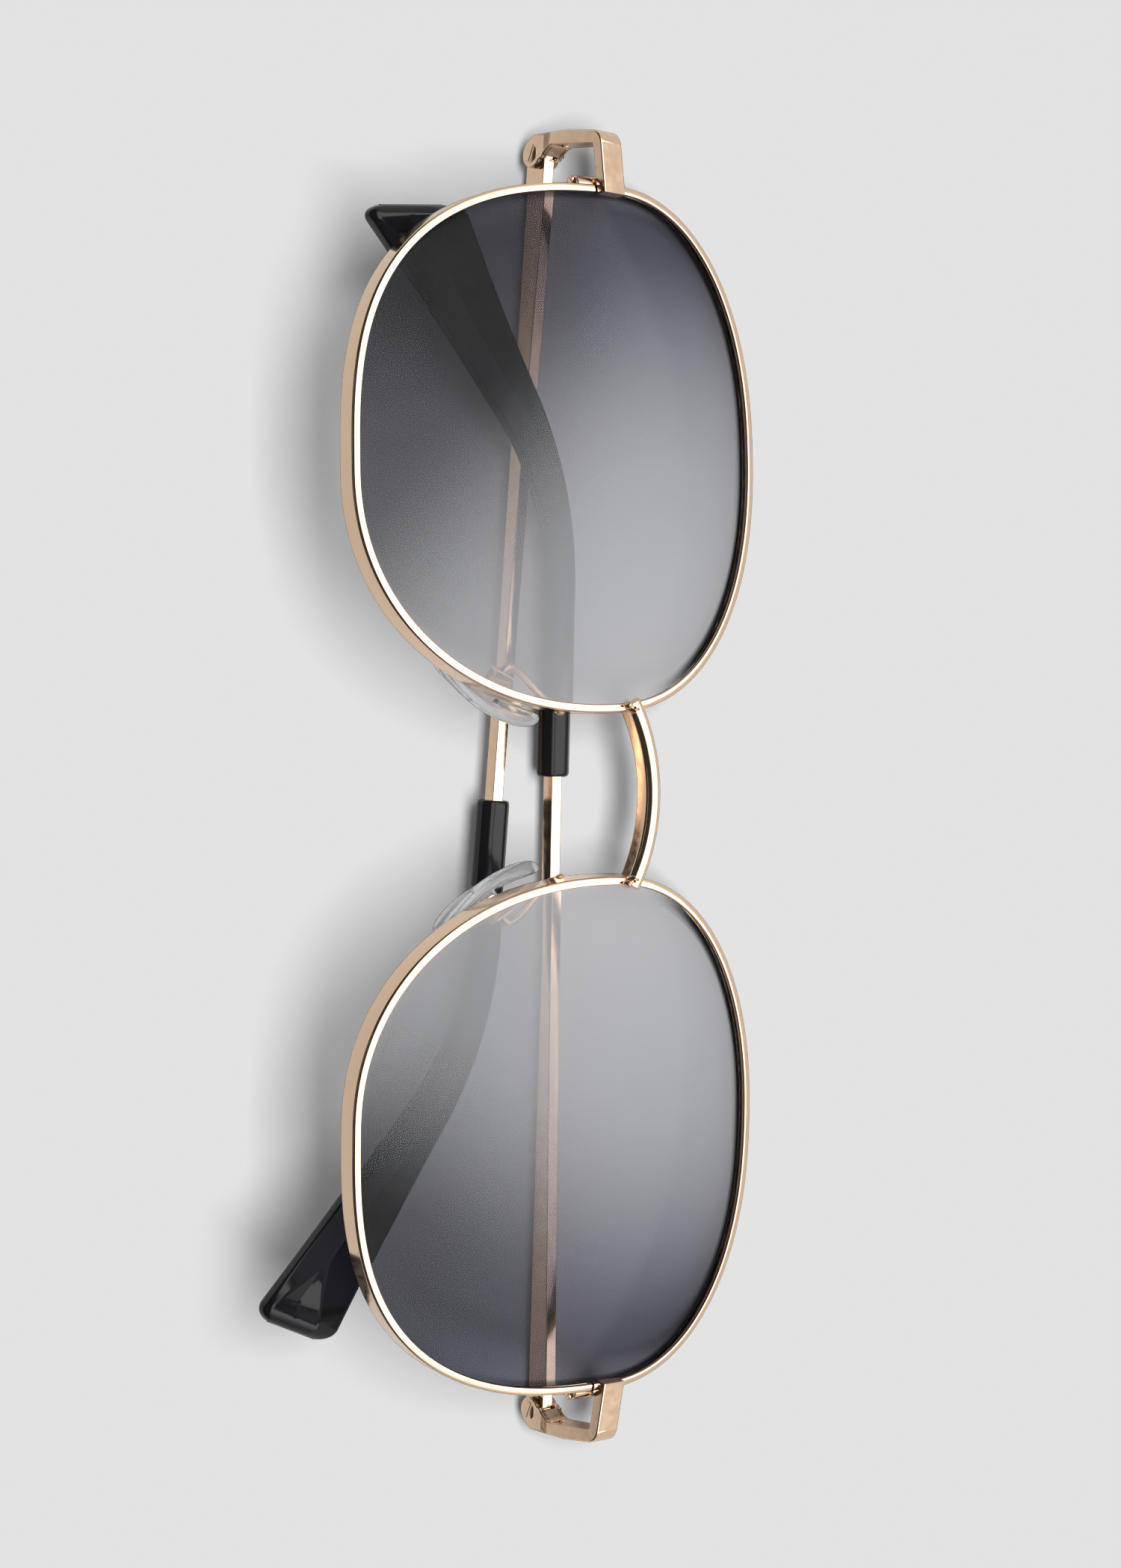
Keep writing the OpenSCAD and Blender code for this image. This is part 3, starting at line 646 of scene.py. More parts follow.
# %% [markdown]
# ## The rims
# A rim is a drawn wire with a nearly square section, rounded at its corners, with a groove on its inner
# side for the lens. A bevelled curve object could make it, but the groove would be hard to keep upright.
# Here the section is carried once round the outline, from one side of the small gap at the rim lock to
# the other, and every point of it is lifted onto the ball.

# %% The rim's section and the gap at its lock
RIM_R, RIM_RINGS, GROOVE_EASE = 0.24, 420, 0.15
CORNER_STEPS, OUTER_QUARTER = 5, slice(len(fine) - 400, len(fine))
half_w, half_d = RIM_W / 2, RIM_DEPTH / 2
section = rounded_box(RIM_W, RIM_DEPTH, RIM_R, CORNER_STEPS) + [half_w, half_d - RIM_LIP]
low = (LENS_T - GROOVE_W) / 2
high = low + GROOVE_W
groove = [[0, high], [GROOVE_D, high - GROOVE_EASE], [GROOVE_D, low + GROOVE_EASE], [0, low]]
# the box starts at its outer back corner and its third and fourth corners lie on the front, so the
# groove goes between the inner back corner and the inner front corner
section = np.vstack([section[: 2 * CORNER_STEPS], groove, section[2 * CORNER_STEPS :]])
gap_from, gap_to = (
    np.interp(LOCK_UP + half_gap, fine[OUTER_QUARTER, 1], length[OUTER_QUARTER])
    for half_gap in (-LOCK_GAP / 2, LOCK_GAP / 2)
)
print("rim wire", round(length[-1] - gap_to + gap_from, 1), "mm long, section of", len(section), "points")


# %% The rims
def eye_rings(points, normals, section):
    """Rings of a section of (outward, deep) pairs carried along the outline and lifted onto the ball."""
    flat = points[:, None] + section[None, :, :1] * normals[:, None]
    return np.concatenate([flat, on_ball(flat, section[None, :, 1])[..., None]], axis=-1)


points, normals = eye_points(gap_to - length[-1], gap_from, RIM_RINGS, False)
shells = [(eye_rings(points, normals, section), "flat")]
pair("rim_wire_{}", shells, at_eye, gold, "front", "metal", "rim_{}")

# %% [markdown]
# ## The lenses
# A lens is a piece of a hollow ball, cut to the eye's outline, with a bevel that sits in the rim's
# groove. It could be cut from a ball with a boolean, which leaves slivers, so rings are used again: the
# outline shrunk step by step over the front, two rings for the bevel, and the same way back.

# %% The lens's rings
LENS_POINTS, BEVEL_HALF = 256, 0.2
points, normals = eye_points(0, length[-1], LENS_POINTS, True)
shares = np.concatenate([np.linspace(0.06, 0.9, 12), 1 - 0.1 * (1 - np.linspace(0, 1, 8)[1:]) ** 2])
edge = points - LENS_PLAY * normals
front = [np.column_stack([edge * s, on_ball(edge * s, 0)]) for s in shares]
back = [np.column_stack([edge * s, on_ball(edge * s, LENS_T)]) for s in shares[::-1]]
bevel_out = points + (GROOVE_D - LENS_PLAY) * normals
bevel = [np.column_stack([bevel_out, on_ball(bevel_out, LENS_T / 2 + d)]) for d in (-BEVEL_HALF, BEVEL_HALF)]
lens_rings = np.array(front + bevel + back)
print("lens", np.round(np.ptp(edge, axis=0), 1).tolist(), "mm wide and high")

# %% [markdown]
# ## The painted reflection, the painted shade and the tint
# In the light of a studio the reflection on a lens is strongest beside the nose and fades towards the
# temple, sooner on the chin side, and here it is painted onto the front. Near the brow edge it gives
# way to a thin black band, the shadow of the groove, painted onto the back. The back is also painted
# darker towards the chin and, on the right lens, at the temple end, as painted shade where the table
# under the lens lies in shadow. Painting this by hand would be slow to change, so all are smooth steps
# of a point's place.

# %% Where each point of the lens is
BROW_SIDE = [0.35, 0.94]


def eased_step(value, start, end):
    """0 before start, 1 after end, and t t (3 - 2 t) between, where t is the share of the way."""
    t = np.clip((value - start) / (end - start), 0, 1)
    return t * t * (3 - 2 * t)


flat = lens_rings[..., :2].reshape(-1, 2)
across, up = flat[:, 0], flat[:, 1]
edge_share = np.concatenate([shares, [1, 1], shares[::-1]])[:, None]
to_edge = ((1 - edge_share) * np.linalg.norm(edge, axis=1)).ravel()
brow_side = np.tile(eased_step(normals @ BROW_SIDE, -0.15, 0.5), len(lens_rings))
on_front = np.repeat(np.arange(len(lens_rings)) < len(front), LENS_POINTS)
print("points on a lens:", len(flat), "of which on the front:", on_front.sum())

# %% The painted reflection, the painted shade and the tint
# the veil is a painted reflection of the sky on the lens's front
VEIL_FULL, VEIL_FALLS = 0.46, ((0.11, -26, 4), (0.35, -4, 24))
VEIL_LEAN = {RIGHT: 0.95, LEFT: 0.6}
LEAN_BELOW, LEAN_EASE = 7, 16
VEIL_EDGE, BACK_EDGE = (0.8, 1.3), (0.4, 0.8)
# painted shade on the back: towards the chin, and at the right lens's temple end
CHIN_PAINTED_SHADE, TEMPLE_END_PAINTED_SHADE = 0.52, {RIGHT: 0.5, LEFT: 0.0}
tint = np.clip((across + 24) / 46, 0, 1)


def painted_light_and_tint(side):
    """U: on the front the painted reflection, a full veil less its falls; on the back the painted shade, 1 -
    the light left; V: the tint's depth.
    """
    below = LEAN_BELOW - up
    place = across + VEIL_LEAN[side] * (below + np.sqrt(below**2 + LEAN_EASE)) / 2
    veil = VEIL_FULL - sum(fall * eased_step(place, start, end) for fall, start, end in VEIL_FALLS)
    veil *= 1 - brow_side * (1 - eased_step(to_edge, *VEIL_EDGE))
    # painted shade: a black band along the brow edge, the groove's shadow
    lit = 1 - brow_side * (1 - eased_step(to_edge, *BACK_EDGE))
    # painted shade: darker towards the chin
    lit *= 1 - CHIN_PAINTED_SHADE * eased_step(-up, -7, 20)
    # painted shade: darker at the temple end towards the chin
    lit *= 1 - TEMPLE_END_PAINTED_SHADE[side] * eased_step(across, 0, 22) * eased_step(-up, -14, 6)
    both = np.stack([np.where(on_front, veil, 1 - lit), tint], axis=1)
    return np.vstack([both, both[:LENS_POINTS].mean(0), both[-LENS_POINTS:].mean(0)])


# %% The lenses
# faces by ring: the front takes the painted reflection, the bevel the black of painted shade, the back the
# tint and painted shade
ring = np.repeat(np.arange(len(lens_rings) - 1), LENS_POINTS)
look = np.where(ring < len(front) - 1, 0, np.where(ring < len(front) + len(bevel), 1, 2))
look = np.concatenate([look, np.full(LENS_POINTS, 0), np.full(LENS_POINTS, 2)])
for word, side in SIDES.items():
    lens = skin(f"lens_glass_{word}", [(lens_rings, "point")], at_eye(side))
    finish_piece(lens, lens_front, "front", "lens", f"lens_{word}")
    lens.data.materials.append(lens_edge_painted_shade)
    lens.data.materials.append(lens_back)
    lens.data.polygons.foreach_set("material_index", look.astype(np.int32))
    corner_of = np.zeros(len(lens.data.loops), np.int32)
    lens.data.loops.foreach_get("vertex_index", corner_of)
    share = lens.data.uv_layers.new(name="share")
    share.uv.foreach_set("vector", painted_light_and_tint(side)[corner_of].astype(np.float32).ravel())

# %% [markdown]
# ## The bridge
# The bridge is a bent bar that is soldered to both rims. Its front is well rounded and its back nearly
# flat, which gives the bright front line and the dark band beside it. A curve with a bevel object could
# do it, but a section of four arcs carried round one big circle says the same in plain numbers.

# %% The bridge
BRIDGE_H, BRIDGE_DEPTH, BRIDGE_BACK, BRIDGE_SWELL = 1.7, 2.2, 1.8, 0.25
BRIDGE_HALF, BRIDGE_UP, BRIDGE_SAG = 9.9, 10.7, 2.5
BRIDGE_FACE_R, BRIDGE_BACK_R = 0.8, 0.3
arch_r = (BRIDGE_HALF**2 + BRIDGE_SAG**2) / (2 * BRIDGE_SAG)
half_turn = math.degrees(math.asin(BRIDGE_HALF / arch_r))
half_h, half_d = BRIDGE_H / 2, BRIDGE_DEPTH / 2 + BRIDGE_SWELL
bar = np.vstack(
    [
        arc([half_h - BRIDGE_FACE_R, half_d - BRIDGE_FACE_R], BRIDGE_FACE_R, 0, 90, 12),
        arc([BRIDGE_FACE_R - half_h, half_d - BRIDGE_FACE_R], BRIDGE_FACE_R, 90, 180, 12),
        arc([BRIDGE_BACK_R - half_h, BRIDGE_BACK_R - half_d], BRIDGE_BACK_R, 180, 270, 6),
        arc([half_h - BRIDGE_BACK_R, BRIDGE_BACK_R - half_d], BRIDGE_BACK_R, 270, 360, 6),
    ]
)
# X and Y go round the arch at its radius + the section's height, Z is the section's depth
a = np.radians(np.linspace(90 - half_turn, 90 + half_turn, 61))[:, None]
out_r = arch_r + bar[None, :, 0]
deep = np.broadcast_to(bar[:, 1] - BRIDGE_BACK - half_d, (len(a), len(bar)))
rings = np.stack([out_r * np.cos(a), BRIDGE_UP - arch_r + out_r * np.sin(a), deep], axis=-1)
finish_piece(skin("bridge_bar", [(rings, "flat")], lie), gold, "front", "metal", "bridge")
print("the arch has a radius of", round(arch_r, 1), "mm")

# %% [markdown]
# ## Solder
# The bridge, the end pieces and the pad wires are soldered to the rims. A bead of solder is never a
# clean ball. Noise in a modifier could make it uneven, but a few sines of the two angles do the same
# and give the same bead each time.

# %% Solder beads at the bridge
def bead(rx, ry, rz, at, seed, steps=24):
    """Rings of an uneven ball: its radius swells by a few sines of the two angles."""
    v = np.radians(np.linspace(6, 174, 14))[:, None]
    u = np.radians(np.arange(steps) * 360 / steps)[None, :]
    swell = 1 + 0.06 * np.sin(3 * u + seed) * np.sin(2 * v + 2 * seed) + 0.04 * np.sin(5 * u - seed)
    x, y, z = rx * np.sin(v) * np.cos(u), ry * np.sin(v) * np.sin(u), rz * np.cos(v) + 0 * u
    return np.stack([x, y, z], axis=-1) * swell[..., None] + at


bar_end = np.array([BRIDGE_HALF, BRIDGE_UP - BRIDGE_SAG, 0])
big_bead = bead(0.55, 0.75, 0.9, bar_end + [-0.75, 0.1, -2.6], seed=3)
small_bead = bead(0.45, 0.5, 0.6, bar_end + [-0.35, -0.75, -2.2], seed=4)
beads = [(big_bead, "point"), (small_bead, "point")]
pair("bridge_solder_{}", beads, at_front, gold, "front", "metal")

# %% [markdown]
# ## The end pieces
# An end piece is a strip that is soldered to the rim's face, bent round the corner and forked into two
# ears for the hinge. It is stamped flat and bent, so one outline seen along the pin describes it: a
# plate with the pin's length as its thickness, and two thinner plates for the ears.

# %% The end piece's outlines in X and Z
BARREL_R, SLOT_PLAY = 1.55, 0.15
PIECE_FRONT, PIECE_SLANT, PIECE_OUT, PIECE_DRAW = 12.3, 12.0, 2.0, 0.5
PIECE_T, PIECE_CORNER_R, PIECE_REACH = 1.4, 1.9, 5.8
FORK = BARREL_R + SLOT_PLAY + 0.35
EAR_TOP = FORK + 1.2
inner_r = PIECE_CORNER_R - PIECE_T
corner = np.array([PIECE_OUT - PIECE_DRAW - PIECE_CORNER_R, PIECE_FRONT - PIECE_CORNER_R])
slant = math.radians(PIECE_SLANT)
inward = np.array([-math.cos(slant), math.sin(slant)])
forward = np.array([math.sin(slant), math.cos(slant)])
foot = corner + (PIECE_REACH + corner[0]) / math.cos(slant) * inward
bay_r = PIECE_FRONT / 5
bay = arc([PIECE_OUT - PIECE_T - bay_r, BARREL_R + bay_r], bay_r, -60, 0)
leg = np.linspace([PIECE_OUT - PIECE_DRAW, corner[1]], [PIECE_OUT, PIECE_FRONT / 2], 8)[1:]
strap_bay = bay[bay[:, 1] > FORK]
ear_bay = bay[bay[:, 1] < EAR_TOP]
strap_outline = np.vstack(
    [
        foot + inner_r * forward,
        foot + PIECE_CORNER_R * forward,
        arc(corner, PIECE_CORNER_R, 90 - PIECE_SLANT, 0),
        leg,
        [[PIECE_OUT, FORK], [strap_bay[0, 0], FORK]],
        strap_bay,
        arc(corner, inner_r, 0, 90 - PIECE_SLANT, 10),
    ]
)[::-1]
ear_outline = np.vstack(
    [
        [[PIECE_OUT, EAR_TOP], [PIECE_OUT, 0.2]],
        arc([0, 0], BARREL_R, -28, -240, 40),
        ear_bay,
        [[ear_bay[-1, 0], EAR_TOP]],
    ]
)[::-1]
print("points round the strip and an ear:", len(strap_outline), len(ear_outline))

# %% The end pieces
STRAP_EDGE_R = 0.16
EAR_EDGE_R = STRAP_EDGE_R * 0.8
shells = [
    (slab(strap_outline, 0, BARREL_H, STRAP_EDGE_R), "flat"),
    (slab(ear_outline, 0, EAR, EAR_EDGE_R), "flat"),
    (slab(ear_outline, BARREL_H - EAR, BARREL_H, EAR_EDGE_R), "flat"),
]
pair("end_strap_{}", shells, at_hinge, gold, "front", "metal", "end_piece_{}")

# %% [markdown]
# ## Screws
# Every joint turns on a tiny screw. The slot could be cut with a boolean, but a head that is two half
# discs on a low drum shows the same slot and keeps every face clean. The threads stay out, because they
# are inside the ears.

# %% Screws with slotted heads
SCREW_R, SCREW_HEAD_R, SCREW_HEAD_H, SCREW_PROUD = 0.6, 1.0, 0.35, 0.06
SLOT_SHARE = 0.32


def half_disc(r, slot):
    """One half of a round head beside its slot: the arc on one side, closed along the slot."""
    lift = math.degrees(math.asin(slot / 2 / r))
    return arc([0, 0], r, lift, 180 - lift, 20)


def screw(head_r, head_h, shank_r, length, proud):
    """Shells of a screw along Y: the head under a slotted top that stands proud below 0, and its shank."""
    top = half_disc(head_r * 0.97, head_r * SLOT_SHARE)
    body = [(head_r * 0.99, head_h * 0.3), (head_r, head_h), (shank_r, head_h + 0.05), (shank_r, length)]
    halves = [slab(half, -proud, head_h * 0.6, head_h * 0.25) for half in (top, top * [1, -1])]
    return [(turned_about_y(body), "flat"), (halves[0], "flat"), (halves[1], "flat")]


pin_shells = screw(SCREW_HEAD_R, SCREW_HEAD_H, SCREW_R, BARREL_H + 0.05, SCREW_PROUD)
for word, side in SIDES.items():
    pin = skin(f"slotted_screw_{word}", pin_shells, at_hinge(side) @ turned("y", 25 * side))
    finish_piece(pin, gold, "front", "metal", f"hinge_screw_{word}")

# %% [markdown]
# ## Rim locks
# A rim is split at the temple side so that the lens can go in. On either side of the split sits half a
# tab, and a screw draws the two together. They are two half-round plates with a gap between them, at
# the place on the ball where the rim's back is.

# %% Rim locks: two half-round tabs and their screw
LOCK_R, LOCK_H, LOCK_SCREW_R, LOCK_HEAD_R = 1.3, 1.9, 0.3, 0.45
LOCK_HEAD_H, SCREW_PLAY, LOCK_EDGE_R, LOCK_CUT = 0.3, 0.03, 0.14, 0.5
LOCK_X = LOCK_HEAD_R + SCREW_PLAY
TAB_X = LOCK_X - LOCK_R + LOCK_HEAD_R
wall = EYE_OUT + RIM_W
lock_depth = (wall**2 + LOCK_UP**2) / (2 * BASE_R) + RIM_DEPTH / 2 - RIM_LIP
open_angle = math.degrees(math.acos((-LOCK_CUT - TAB_X) / LOCK_R))
tab = arc([TAB_X, 0], LOCK_R, -open_angle, open_angle, 28)
head_low = -LOCK_GAP / 2 - LOCK_H - LOCK_HEAD_H
bolt_shells = screw(LOCK_HEAD_R, LOCK_HEAD_H, LOCK_SCREW_R, 2 * LOCK_H, 0.0)
for word, side in SIDES.items():
    place = at_eye(side) @ moved(wall, LOCK_UP, -lock_depth)
    for level, low in (("top", LOCK_GAP / 2), ("sole", -LOCK_GAP / 2 - LOCK_H)):
        plate = slab(tab, low, low + LOCK_H, LOCK_EDGE_R)
        half = skin(f"lock_tab_{level}_{word}", [(plate, "flat")], place)
        finish_piece(half, gold, "front", "metal", f"lock_{level}_{word}")
    bolt = skin(f"lock_bolt_{word}", bolt_shells, place @ moved(LOCK_X, head_low, 0) @ turned("y", 50))
    finish_piece(bolt, gold, "front", "metal", f"lock_screw_{word}")

# %% [markdown]
# ## The temples
# Each temple is a flat metal bar that thins away from the hinge. Its far half is a wire inside a black
# sleeve, which follows the bend behind the ear and widens to a blunt tip. Bending a finished mesh with
# a modifier would make its place hard to check, so bar and sleeve are sections carried along one line.

# %% The line that a temple follows
TEMPLE_LEN, SLEEVE_FROM = 136.0, 71.0
BEND_FROM = {RIGHT: 86.0, LEFT: 91.5}
BEND_R, DROP = 35.0, math.radians(34.5)


def temple_line(side, s):
    """Place and heading at length s: straight, then round a circle of radius BEND_R, then straight again."""
    turn = np.clip((s - BEND_FROM[side]) / BEND_R, 0, DROP)
    last = np.maximum(0, s - BEND_FROM[side] - BEND_R * DROP)
    x = np.minimum(s, BEND_FROM[side]) + BEND_R * np.sin(turn) + last * math.cos(DROP)
    y = BEND_R * (np.cos(turn) - 1) - last * math.sin(DROP)
    return np.stack([x, y], axis=-1), -turn


def along_temple(side, s, section):
    """Rings of (height, thickness) sections, one per length s, square to the temple's line."""
    place, turn = temple_line(side, s)
    across = np.stack([-np.sin(turn), np.cos(turn)], axis=-1)
    flat = place[:, None] + section[..., :1] * across[:, None]
    return np.concatenate([flat, section[..., 1:2]], axis=-1)


for word, side in SIDES.items():
    tip_at, _ = temple_line(side, np.array([TEMPLE_LEN]))
    print(f"{word} temple: its tip is", np.round(tip_at[0], 1).tolist(), "mm along and up from the pin")

# %% The metal arms
ROOT_T, ARM_T, ARM_TAPER, ARM_EDGE_R, KNUCKLE_EDGE = 3.1, 1.6, 50.0, 0.08, 0.12
s = np.array([0.4, 0.9, 2, 3.1, 6, 12, 20, 30, 40, ARM_TAPER, 60, 69, SLEEVE_FROM + 2])
thick = np.interp(s, [ROOT_T, ARM_TAPER], [ROOT_T, ARM_T])
bar = np.stack([rounded_box(TONGUE, t, ARM_EDGE_R, 4) for t in thick])
drawn_in, half_tongue = BARREL_R - KNUCKLE_EDGE, TONGUE / 2
knuckle = [
    (drawn_in, -half_tongue),
    (BARREL_R, KNUCKLE_EDGE - half_tongue),
    (BARREL_R, half_tongue - KNUCKLE_EDGE),
    (drawn_in, half_tongue),
]
for word, side in SIDES.items():
    shells = [(along_temple(side, s, bar), "flat"), (turned_about_y(knuckle), "flat")]
    arm = skin(f"temple_bar_{word}", shells, at_temple(side))
    finish_piece(arm, gold, f"temple_{word}", "metal", f"temple_arm_{word}")

# %% [markdown]
# ## The ear sleeves
# The sleeves are injection moulded. Near the arm they are a plain bar with bevelled edges, further on
# the front grows a ridge, and at the tip it parts in two round a shallow hollow. A subdivided box could
# be pulled into that shape by hand, but nine corners whose places change along the length give it as
# one grid, and each corner can be softened by the same small amount.

# %% The sleeve's section
SOFT_EDGE, SLOPE_FROM = 0.3, 0.52


def sleeve_sections(half_h, half_t, ridge, upper, lower, dip):
    """Nine-sided rings, one per number in each list: two straight edges, slopes, a flat or ridge at the
    back, and in front two ridge lines with a dip between. Each corner is a quadratic curve round it."""
    one = np.ones_like(half_h)
    v = np.stack([one, one, upper, (upper + lower) / 2, lower, -one, -one, -ridge, ridge], axis=1)
    slope = SLOPE_FROM * one
    w = np.stack([-slope, slope, one, 1 - dip, one, slope, -slope, -one, -one], axis=1)
    corner = np.stack([v * half_h[:, None], w * half_t[:, None]], axis=-1)
    ends = []
    for beside in (np.roll(corner, 1, axis=1), np.roll(corner, -1, axis=1)):
        gap = np.linalg.norm(beside - corner, axis=-1, keepdims=True)
        ends.append(corner + (beside - corner) * np.minimum(0.45, SOFT_EDGE / np.maximum(gap, 0.01)))
    t = np.linspace(0, 1, 5)[:, None]
    start, finish = ends[0][:, :, None], ends[1][:, :, None]
    ring = start * (1 - t) ** 2 + 2 * corner[:, :, None] * t * (1 - t) + finish * t**2
    return ring.reshape(len(half_h), -1, 2)


# %% How the section changes along the sleeve
SLEEVE_H, SLEEVE_T, TIP_H, TIP_ROUND, FLARE = 3.5, 2.7, 10.2, 2.0, 1.7
TIP_SLANT = {RIGHT: math.radians(14.0), LEFT: math.radians(30.0)}
OUTER_FLARE = {RIGHT: 0.0, LEFT: 0.22}
SLEEVE_TO = {RIGHT: TEMPLE_LEN - 1.0, LEFT: TEMPLE_LEN + 1.6}
MOUTH_ROUND, MOUTH_DRAW = 0.5, 0.16
RIDGE_WIDE, RIDGE_FALL, RIDGE_SPAN = 0.55, 0.5, (80, 120)
MIDDLE_FALL, MIDDLE_SPAN = 0.35, (100, 125)
SCOOP_LEN, SCOOP_DEPTH, SCOOP_UP, SCOOP_DOWN, SCOOP_END = 8.0, 0.9, 0.75, 0.6, (3.2, 1.2)
mouth = SLEEVE_FROM + np.array([0, 0.05, 0.15, 0.3, 0.5])


def quarter_round(t):
    """A quarter circle: sqrt(1 - t^2), with t kept between 0 and 1."""
    return np.sqrt(1 - np.clip(t, 0, 1) ** 2)


def sleeve_rings(side):
    """Rings from mouth to tip: the height grows as share^FLARE, both ends close as quarter circles."""
    end = SLEEVE_TO[side]
    tip = end - TIP_ROUND + TIP_ROUND * np.sin(np.radians(np.linspace(0, 90, 14)))
    s = np.concatenate([mouth, np.linspace(SLEEVE_FROM + 1.5, end - TIP_ROUND - 0.2, 84), tip])
    lip = 1 - MOUTH_DRAW * (1 - quarter_round(1 - (s - SLEEVE_FROM) / MOUTH_ROUND))
    close = quarter_round((s - end + TIP_ROUND) / TIP_ROUND)
    share = np.clip((s - BEND_FROM[side]) / (end - BEND_FROM[side]), 0, 1) ** FLARE
    half_h = (SLEEVE_H + (TIP_H - SLEEVE_H) * share) / 2 * (1 + np.maximum(close, 0.25)) / 2 * lip
    half_t = SLEEVE_T / 2 * np.maximum(close, 0.03) * lip
    ridge = RIDGE_WIDE - RIDGE_FALL * eased_step(s, *RIDGE_SPAN)
    middle = -MIDDLE_FALL * eased_step(s, *MIDDLE_SPAN)
    parting = np.clip((s - end + SCOOP_LEN) / (SCOOP_LEN - 1.0), 0, 1)
    upper = middle + ridge + SCOOP_UP * parting
    lower = np.maximum(-0.93, middle - ridge - SCOOP_DOWN * parting)
    dip = SCOOP_DEPTH * parting * (1 - eased_step(s, end - SCOOP_END[0], end - SCOOP_END[1]))
    sections = sleeve_sections(half_h, half_t, ridge, upper, lower, dip)
    grown = OUTER_FLARE[side] * share[:, None]
    sections[..., 0] *= 1 + np.where(sections[..., 0] < 0, grown, 0)
    # the slant pushes each point along the line by its height times a lean that grows towards the tip
    turn = temple_line(side, s)[1]
    run = np.stack([np.cos(turn), np.sin(turn), 0 * turn], axis=-1)
    lean = math.tan(TIP_SLANT[side]) * eased_step(s, end - 2 * TIP_H, end)
    return along_temple(side, s, sections) - run[:, None] * (sections[..., :1] * lean[:, None, None])


# %% The sleeves
for word, side in SIDES.items():
    shells = [(sleeve_rings(side), "flat")]
    sleeve = skin(f"ear_sleeve_{word}", shells, at_temple(side), sharp=math.radians(60))
    finish_piece(sleeve, black, f"temple_{word}", "sleeve", f"temple_sleeve_{word}")

# %% [markdown]
# ## The nose pads
# A pad is a clear drop-shaped plate, bowed towards the nose, with a post behind it that sits in a
# little metal box. It could be a squashed ball, but a moulded pad has an even thickness and a full
# round edge, so it is a stack of drop outlines, drawn in over both faces, and then bowed as a whole.

# %% Sizes of pad and box
PAD_L, PAD_W, PAD_T, PAD_CURVE, PAD_TAPER = 14.0, 7.6, 1.5, 20.0, 0.25
BOSS_W, BOSS_L, BOSS_H, PAD_SCREW_R, BOX_WALL, BOSS_PLAY = 1.2, 2.2, 2.5, 0.35, 0.45, 0.08
SCREW_BEHIND = PAD_T / 2 + BOSS_H - BOSS_L / 2
BOX_IN, BOX_R = BOSS_W + 2 * BOSS_PLAY, BOSS_L / 2
BOX_OUT, BOX_FLOOR = BOX_IN + 2 * BOX_WALL, SCREW_BEHIND + BOX_R + BOSS_PLAY

print("the pad screw is", round(SCREW_BEHIND, 2), "mm behind the pad's middle")

# %% Pad plates and posts
PAD_POINTS, POST_EDGE_R = 96, 0.15
a = np.radians(np.arange(PAD_POINTS) * 360 / PAD_POINTS)
half_pad = PAD_T / 2
drop = np.stack([PAD_L / 2 * np.cos(a), PAD_W / 2 * np.sin(a) * (1 - PAD_TAPER * np.cos(a))], axis=1)
outward = normals_of(drop)


def layer(outline, z):
    """The outline at one height."""
    return np.column_stack([outline, np.full(PAD_POINTS, z)])


inner = np.linspace(0.08, 0.96, 9)
round_edge = np.radians(np.linspace(90, -90, 13))
layers = [layer((drop - half_pad * outward) * k, half_pad) for k in inner]
layers += [layer(drop - half_pad * (1 - np.cos(b)) * outward, half_pad * np.sin(b)) for b in round_edge]
layers += [layer((drop - half_pad * outward) * k, -half_pad) for k in inner[::-1]]
plate = np.array(layers)
# bowed along its length: each point rises by sqrt(R^2 - X^2) - R
middle_r = PAD_CURVE - half_pad
plate[..., 2] += np.sqrt(middle_r**2 - plate[..., 0] ** 2) - middle_r
half_round = arc([0, -SCREW_BEHIND], BOSS_L / 2, 180, 360, 20)
post = np.vstack([[[BOSS_L / 2, -0.2], [-BOSS_L / 2, -0.2]], half_round])
shells = [(plate, "point"), (slab(post, -BOSS_W / 2, BOSS_W / 2, POST_EDGE_R), "flat")]
pair("clear_pad_{}", shells, at_pad, pad_clear, "pad_{}", "pad", "nose_pad_{}", sharp=math.radians(50))

# %% [markdown]
# ## Pad boxes and wires
# The post rocks on a screw between the two cheeks of a small folded box, and a springy wire, soldered
# to the back of the rim, holds the box. The cheeks and the base are three plates. The wire is a round
# section along a cubic curve that leaves the rim straight back and arrives square at the box.

# %% Pad boxes and screws
CHEEK_EDGE_R, BASE_EDGE_R = 0.12, 0.08
floor_line = -BOX_FLOOR - BOX_WALL
cheek = np.vstack([arc([0, -SCREW_BEHIND], BOX_R, 0, 180, 20), [[-BOX_R, floor_line], [BOX_R, floor_line]]])
base = np.array([[-BOX_R, floor_line], [BOX_R, floor_line], [BOX_R, -BOX_FLOOR], [-BOX_R, -BOX_FLOOR]])
box_shells = [
    (slab(cheek, BOX_IN / 2, BOX_OUT / 2, CHEEK_EDGE_R), "flat"),
    (slab(cheek, -BOX_OUT / 2, -BOX_IN / 2, CHEEK_EDGE_R), "flat"),
    (slab(base, -BOX_OUT / 2, BOX_OUT / 2, BASE_EDGE_R), "flat"),
]
head_h = BOX_WALL / 2
bolt_shells = screw(PAD_SCREW_R + head_h, head_h, PAD_SCREW_R, BOX_OUT + head_h, 0.0)
for word, side in SIDES.items():
    holder = skin(f"pad_holder_{word}", box_shells, at_pad(side))
    finish_piece(holder, gold, "front", "metal", f"pad_box_{word}")
    place = at_pad(side) @ moved(0, BOX_OUT / 2 + head_h, -SCREW_BEHIND) @ turned("x", 180)
    finish_piece(skin(f"pad_bolt_{word}", bolt_shells, place), gold, "front", "metal", f"pad_screw_{word}")

# %% A round wire along a curve
WIRE_R, ROOT_TURN, ROOT_RUN, BOX_RUN = 0.5, math.radians(187.0), 0.8, 0.35


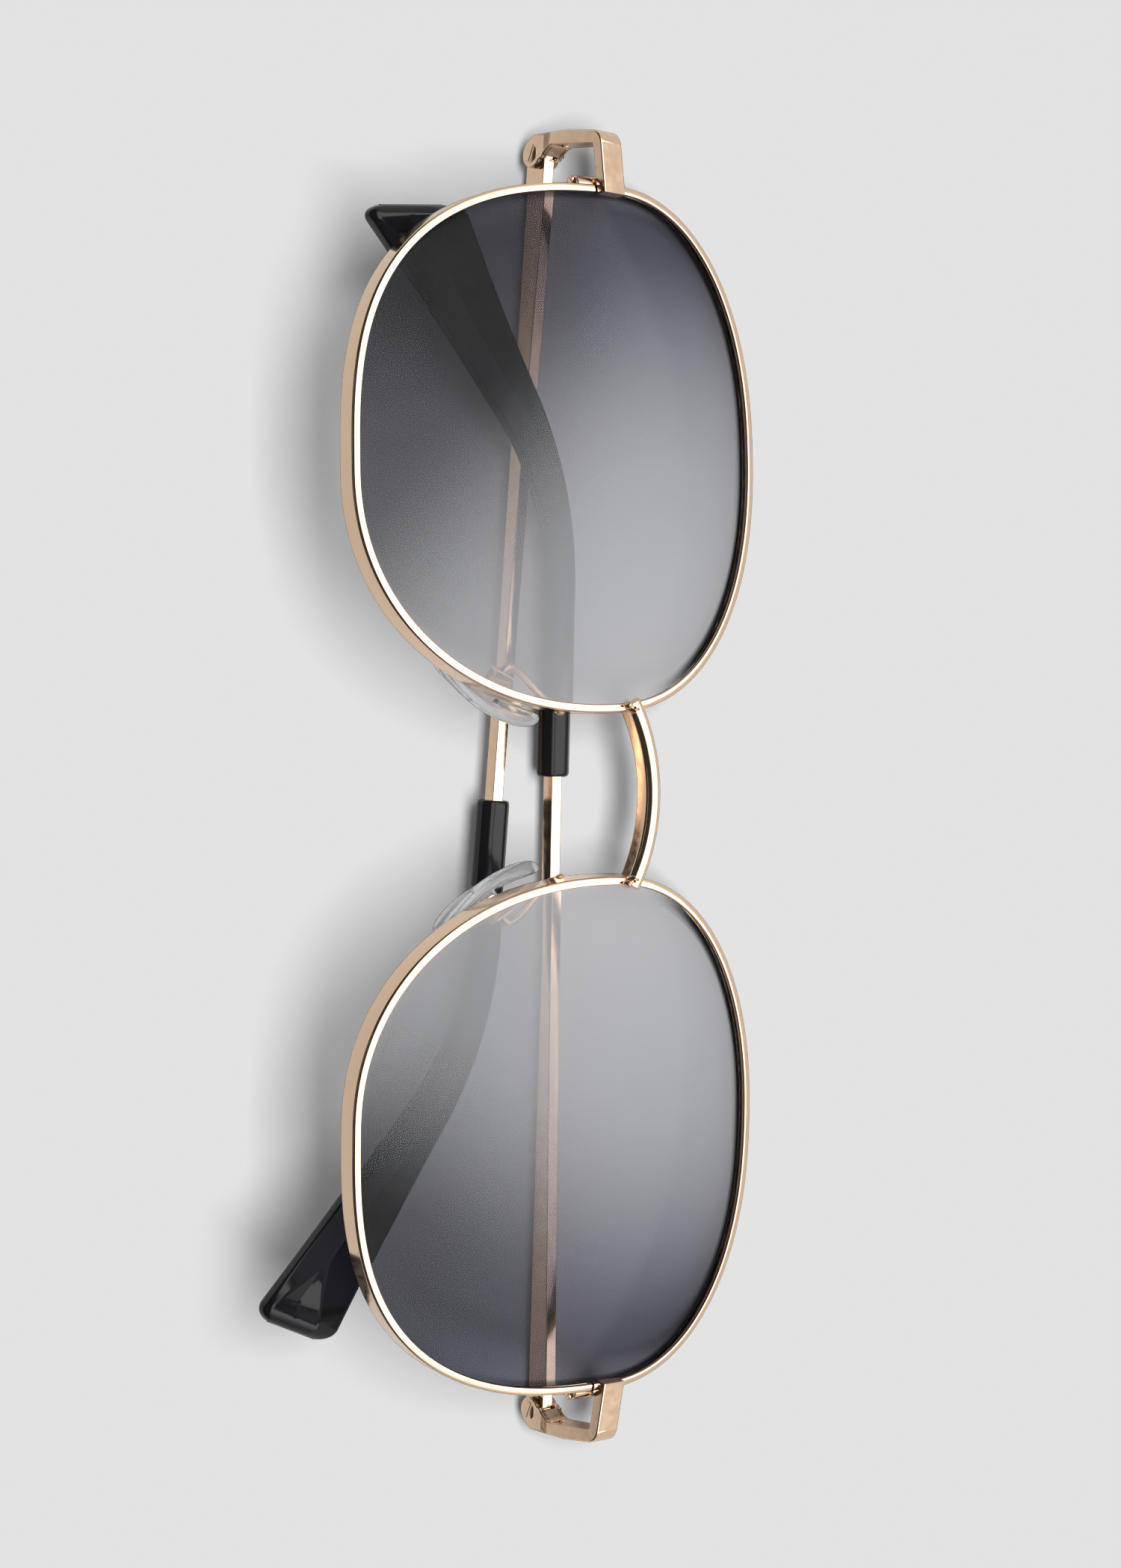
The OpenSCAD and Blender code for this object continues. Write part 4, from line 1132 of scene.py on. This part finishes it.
def on_curve(c, t):
    """A cubic curve of four points, weighed u^3, 3 u^2 t, 3 u t^2 and t^3, and the direction of its run."""
    t = t[:, None]
    u = 1 - t
    run = (c[1] - c[0]) * u**2 + (c[2] - c[1]) * 2 * u * t + (c[3] - c[2]) * t**2
    run /= np.linalg.norm(run, axis=1, keepdims=True)
    return c[0] * u**3 + c[1] * 3 * u**2 * t + c[2] * 3 * u * t**2 + c[3] * t**3, run


def wire(curve, r, steps=48, sides=24):
    """Rings of a round wire: each ring is square to the curve's run."""
    at, run = on_curve(curve, np.linspace(0, 1, steps))
    across = np.cross(run, [0, 1, 0])
    across /= np.linalg.norm(across, axis=1, keepdims=True)
    over = np.cross(run, across)
    c = circle(r, sides)
    return at[:, None] + c[None, :, :1] * across[:, None] + c[None, :, 1:] * over[:, None]


# %% Pad wires
# where the wire starts: a point of the eye's third quarter, half a rim's width inwards, on the rim's back
power = 2 / CORNER_POWERS[2]
root_flat = np.array(
    [
        -SOLE_IN - (EYE_IN - SOLE_IN) * abs(math.cos(ROOT_TURN)) ** power - RIM_W / 2,
        WIDE_IN_UP - (EYE_SOLE + WIDE_IN_UP) * abs(math.sin(ROOT_TURN)) ** power,
    ]
)
root_at = np.append(root_flat, on_ball(root_flat, RIM_DEPTH - RIM_LIP))
root_at = through(moved(LENS_PITCH / 2, 0, 0) @ turned("y", WRAP), root_at)
box_back = np.array([PAD_OUT, -PAD_DOWN, -PAD_BACK]) - pad_z * (BOX_FLOOR + BOX_WALL)
span = np.linalg.norm(box_back - root_at)
before_box = box_back - pad_z * span * BOX_RUN
curve = np.array([root_at + [0, 0, 0.4], root_at - [0, 0, span * ROOT_RUN], before_box, box_back])
shells = [(wire(curve, WIRE_R), "flat"), (bead(0.72, 0.75, 0.6, root_at, seed=7.0), "point")]
pair("pad_wire_{}", shells, at_front, gold, "front", "metal", "pad_arm_{}")
print("the wire spans", round(span, 1), "mm")

# %% [markdown]
# ## Counting
# The finished sunglasses are meant to fill the same box as the solid model. Here the pieces and their
# triangles are counted.

# %% Count the pieces
print("pieces:", len(pieces), "triangles:", sum(len(p.data.loop_triangles) for p in pieces))
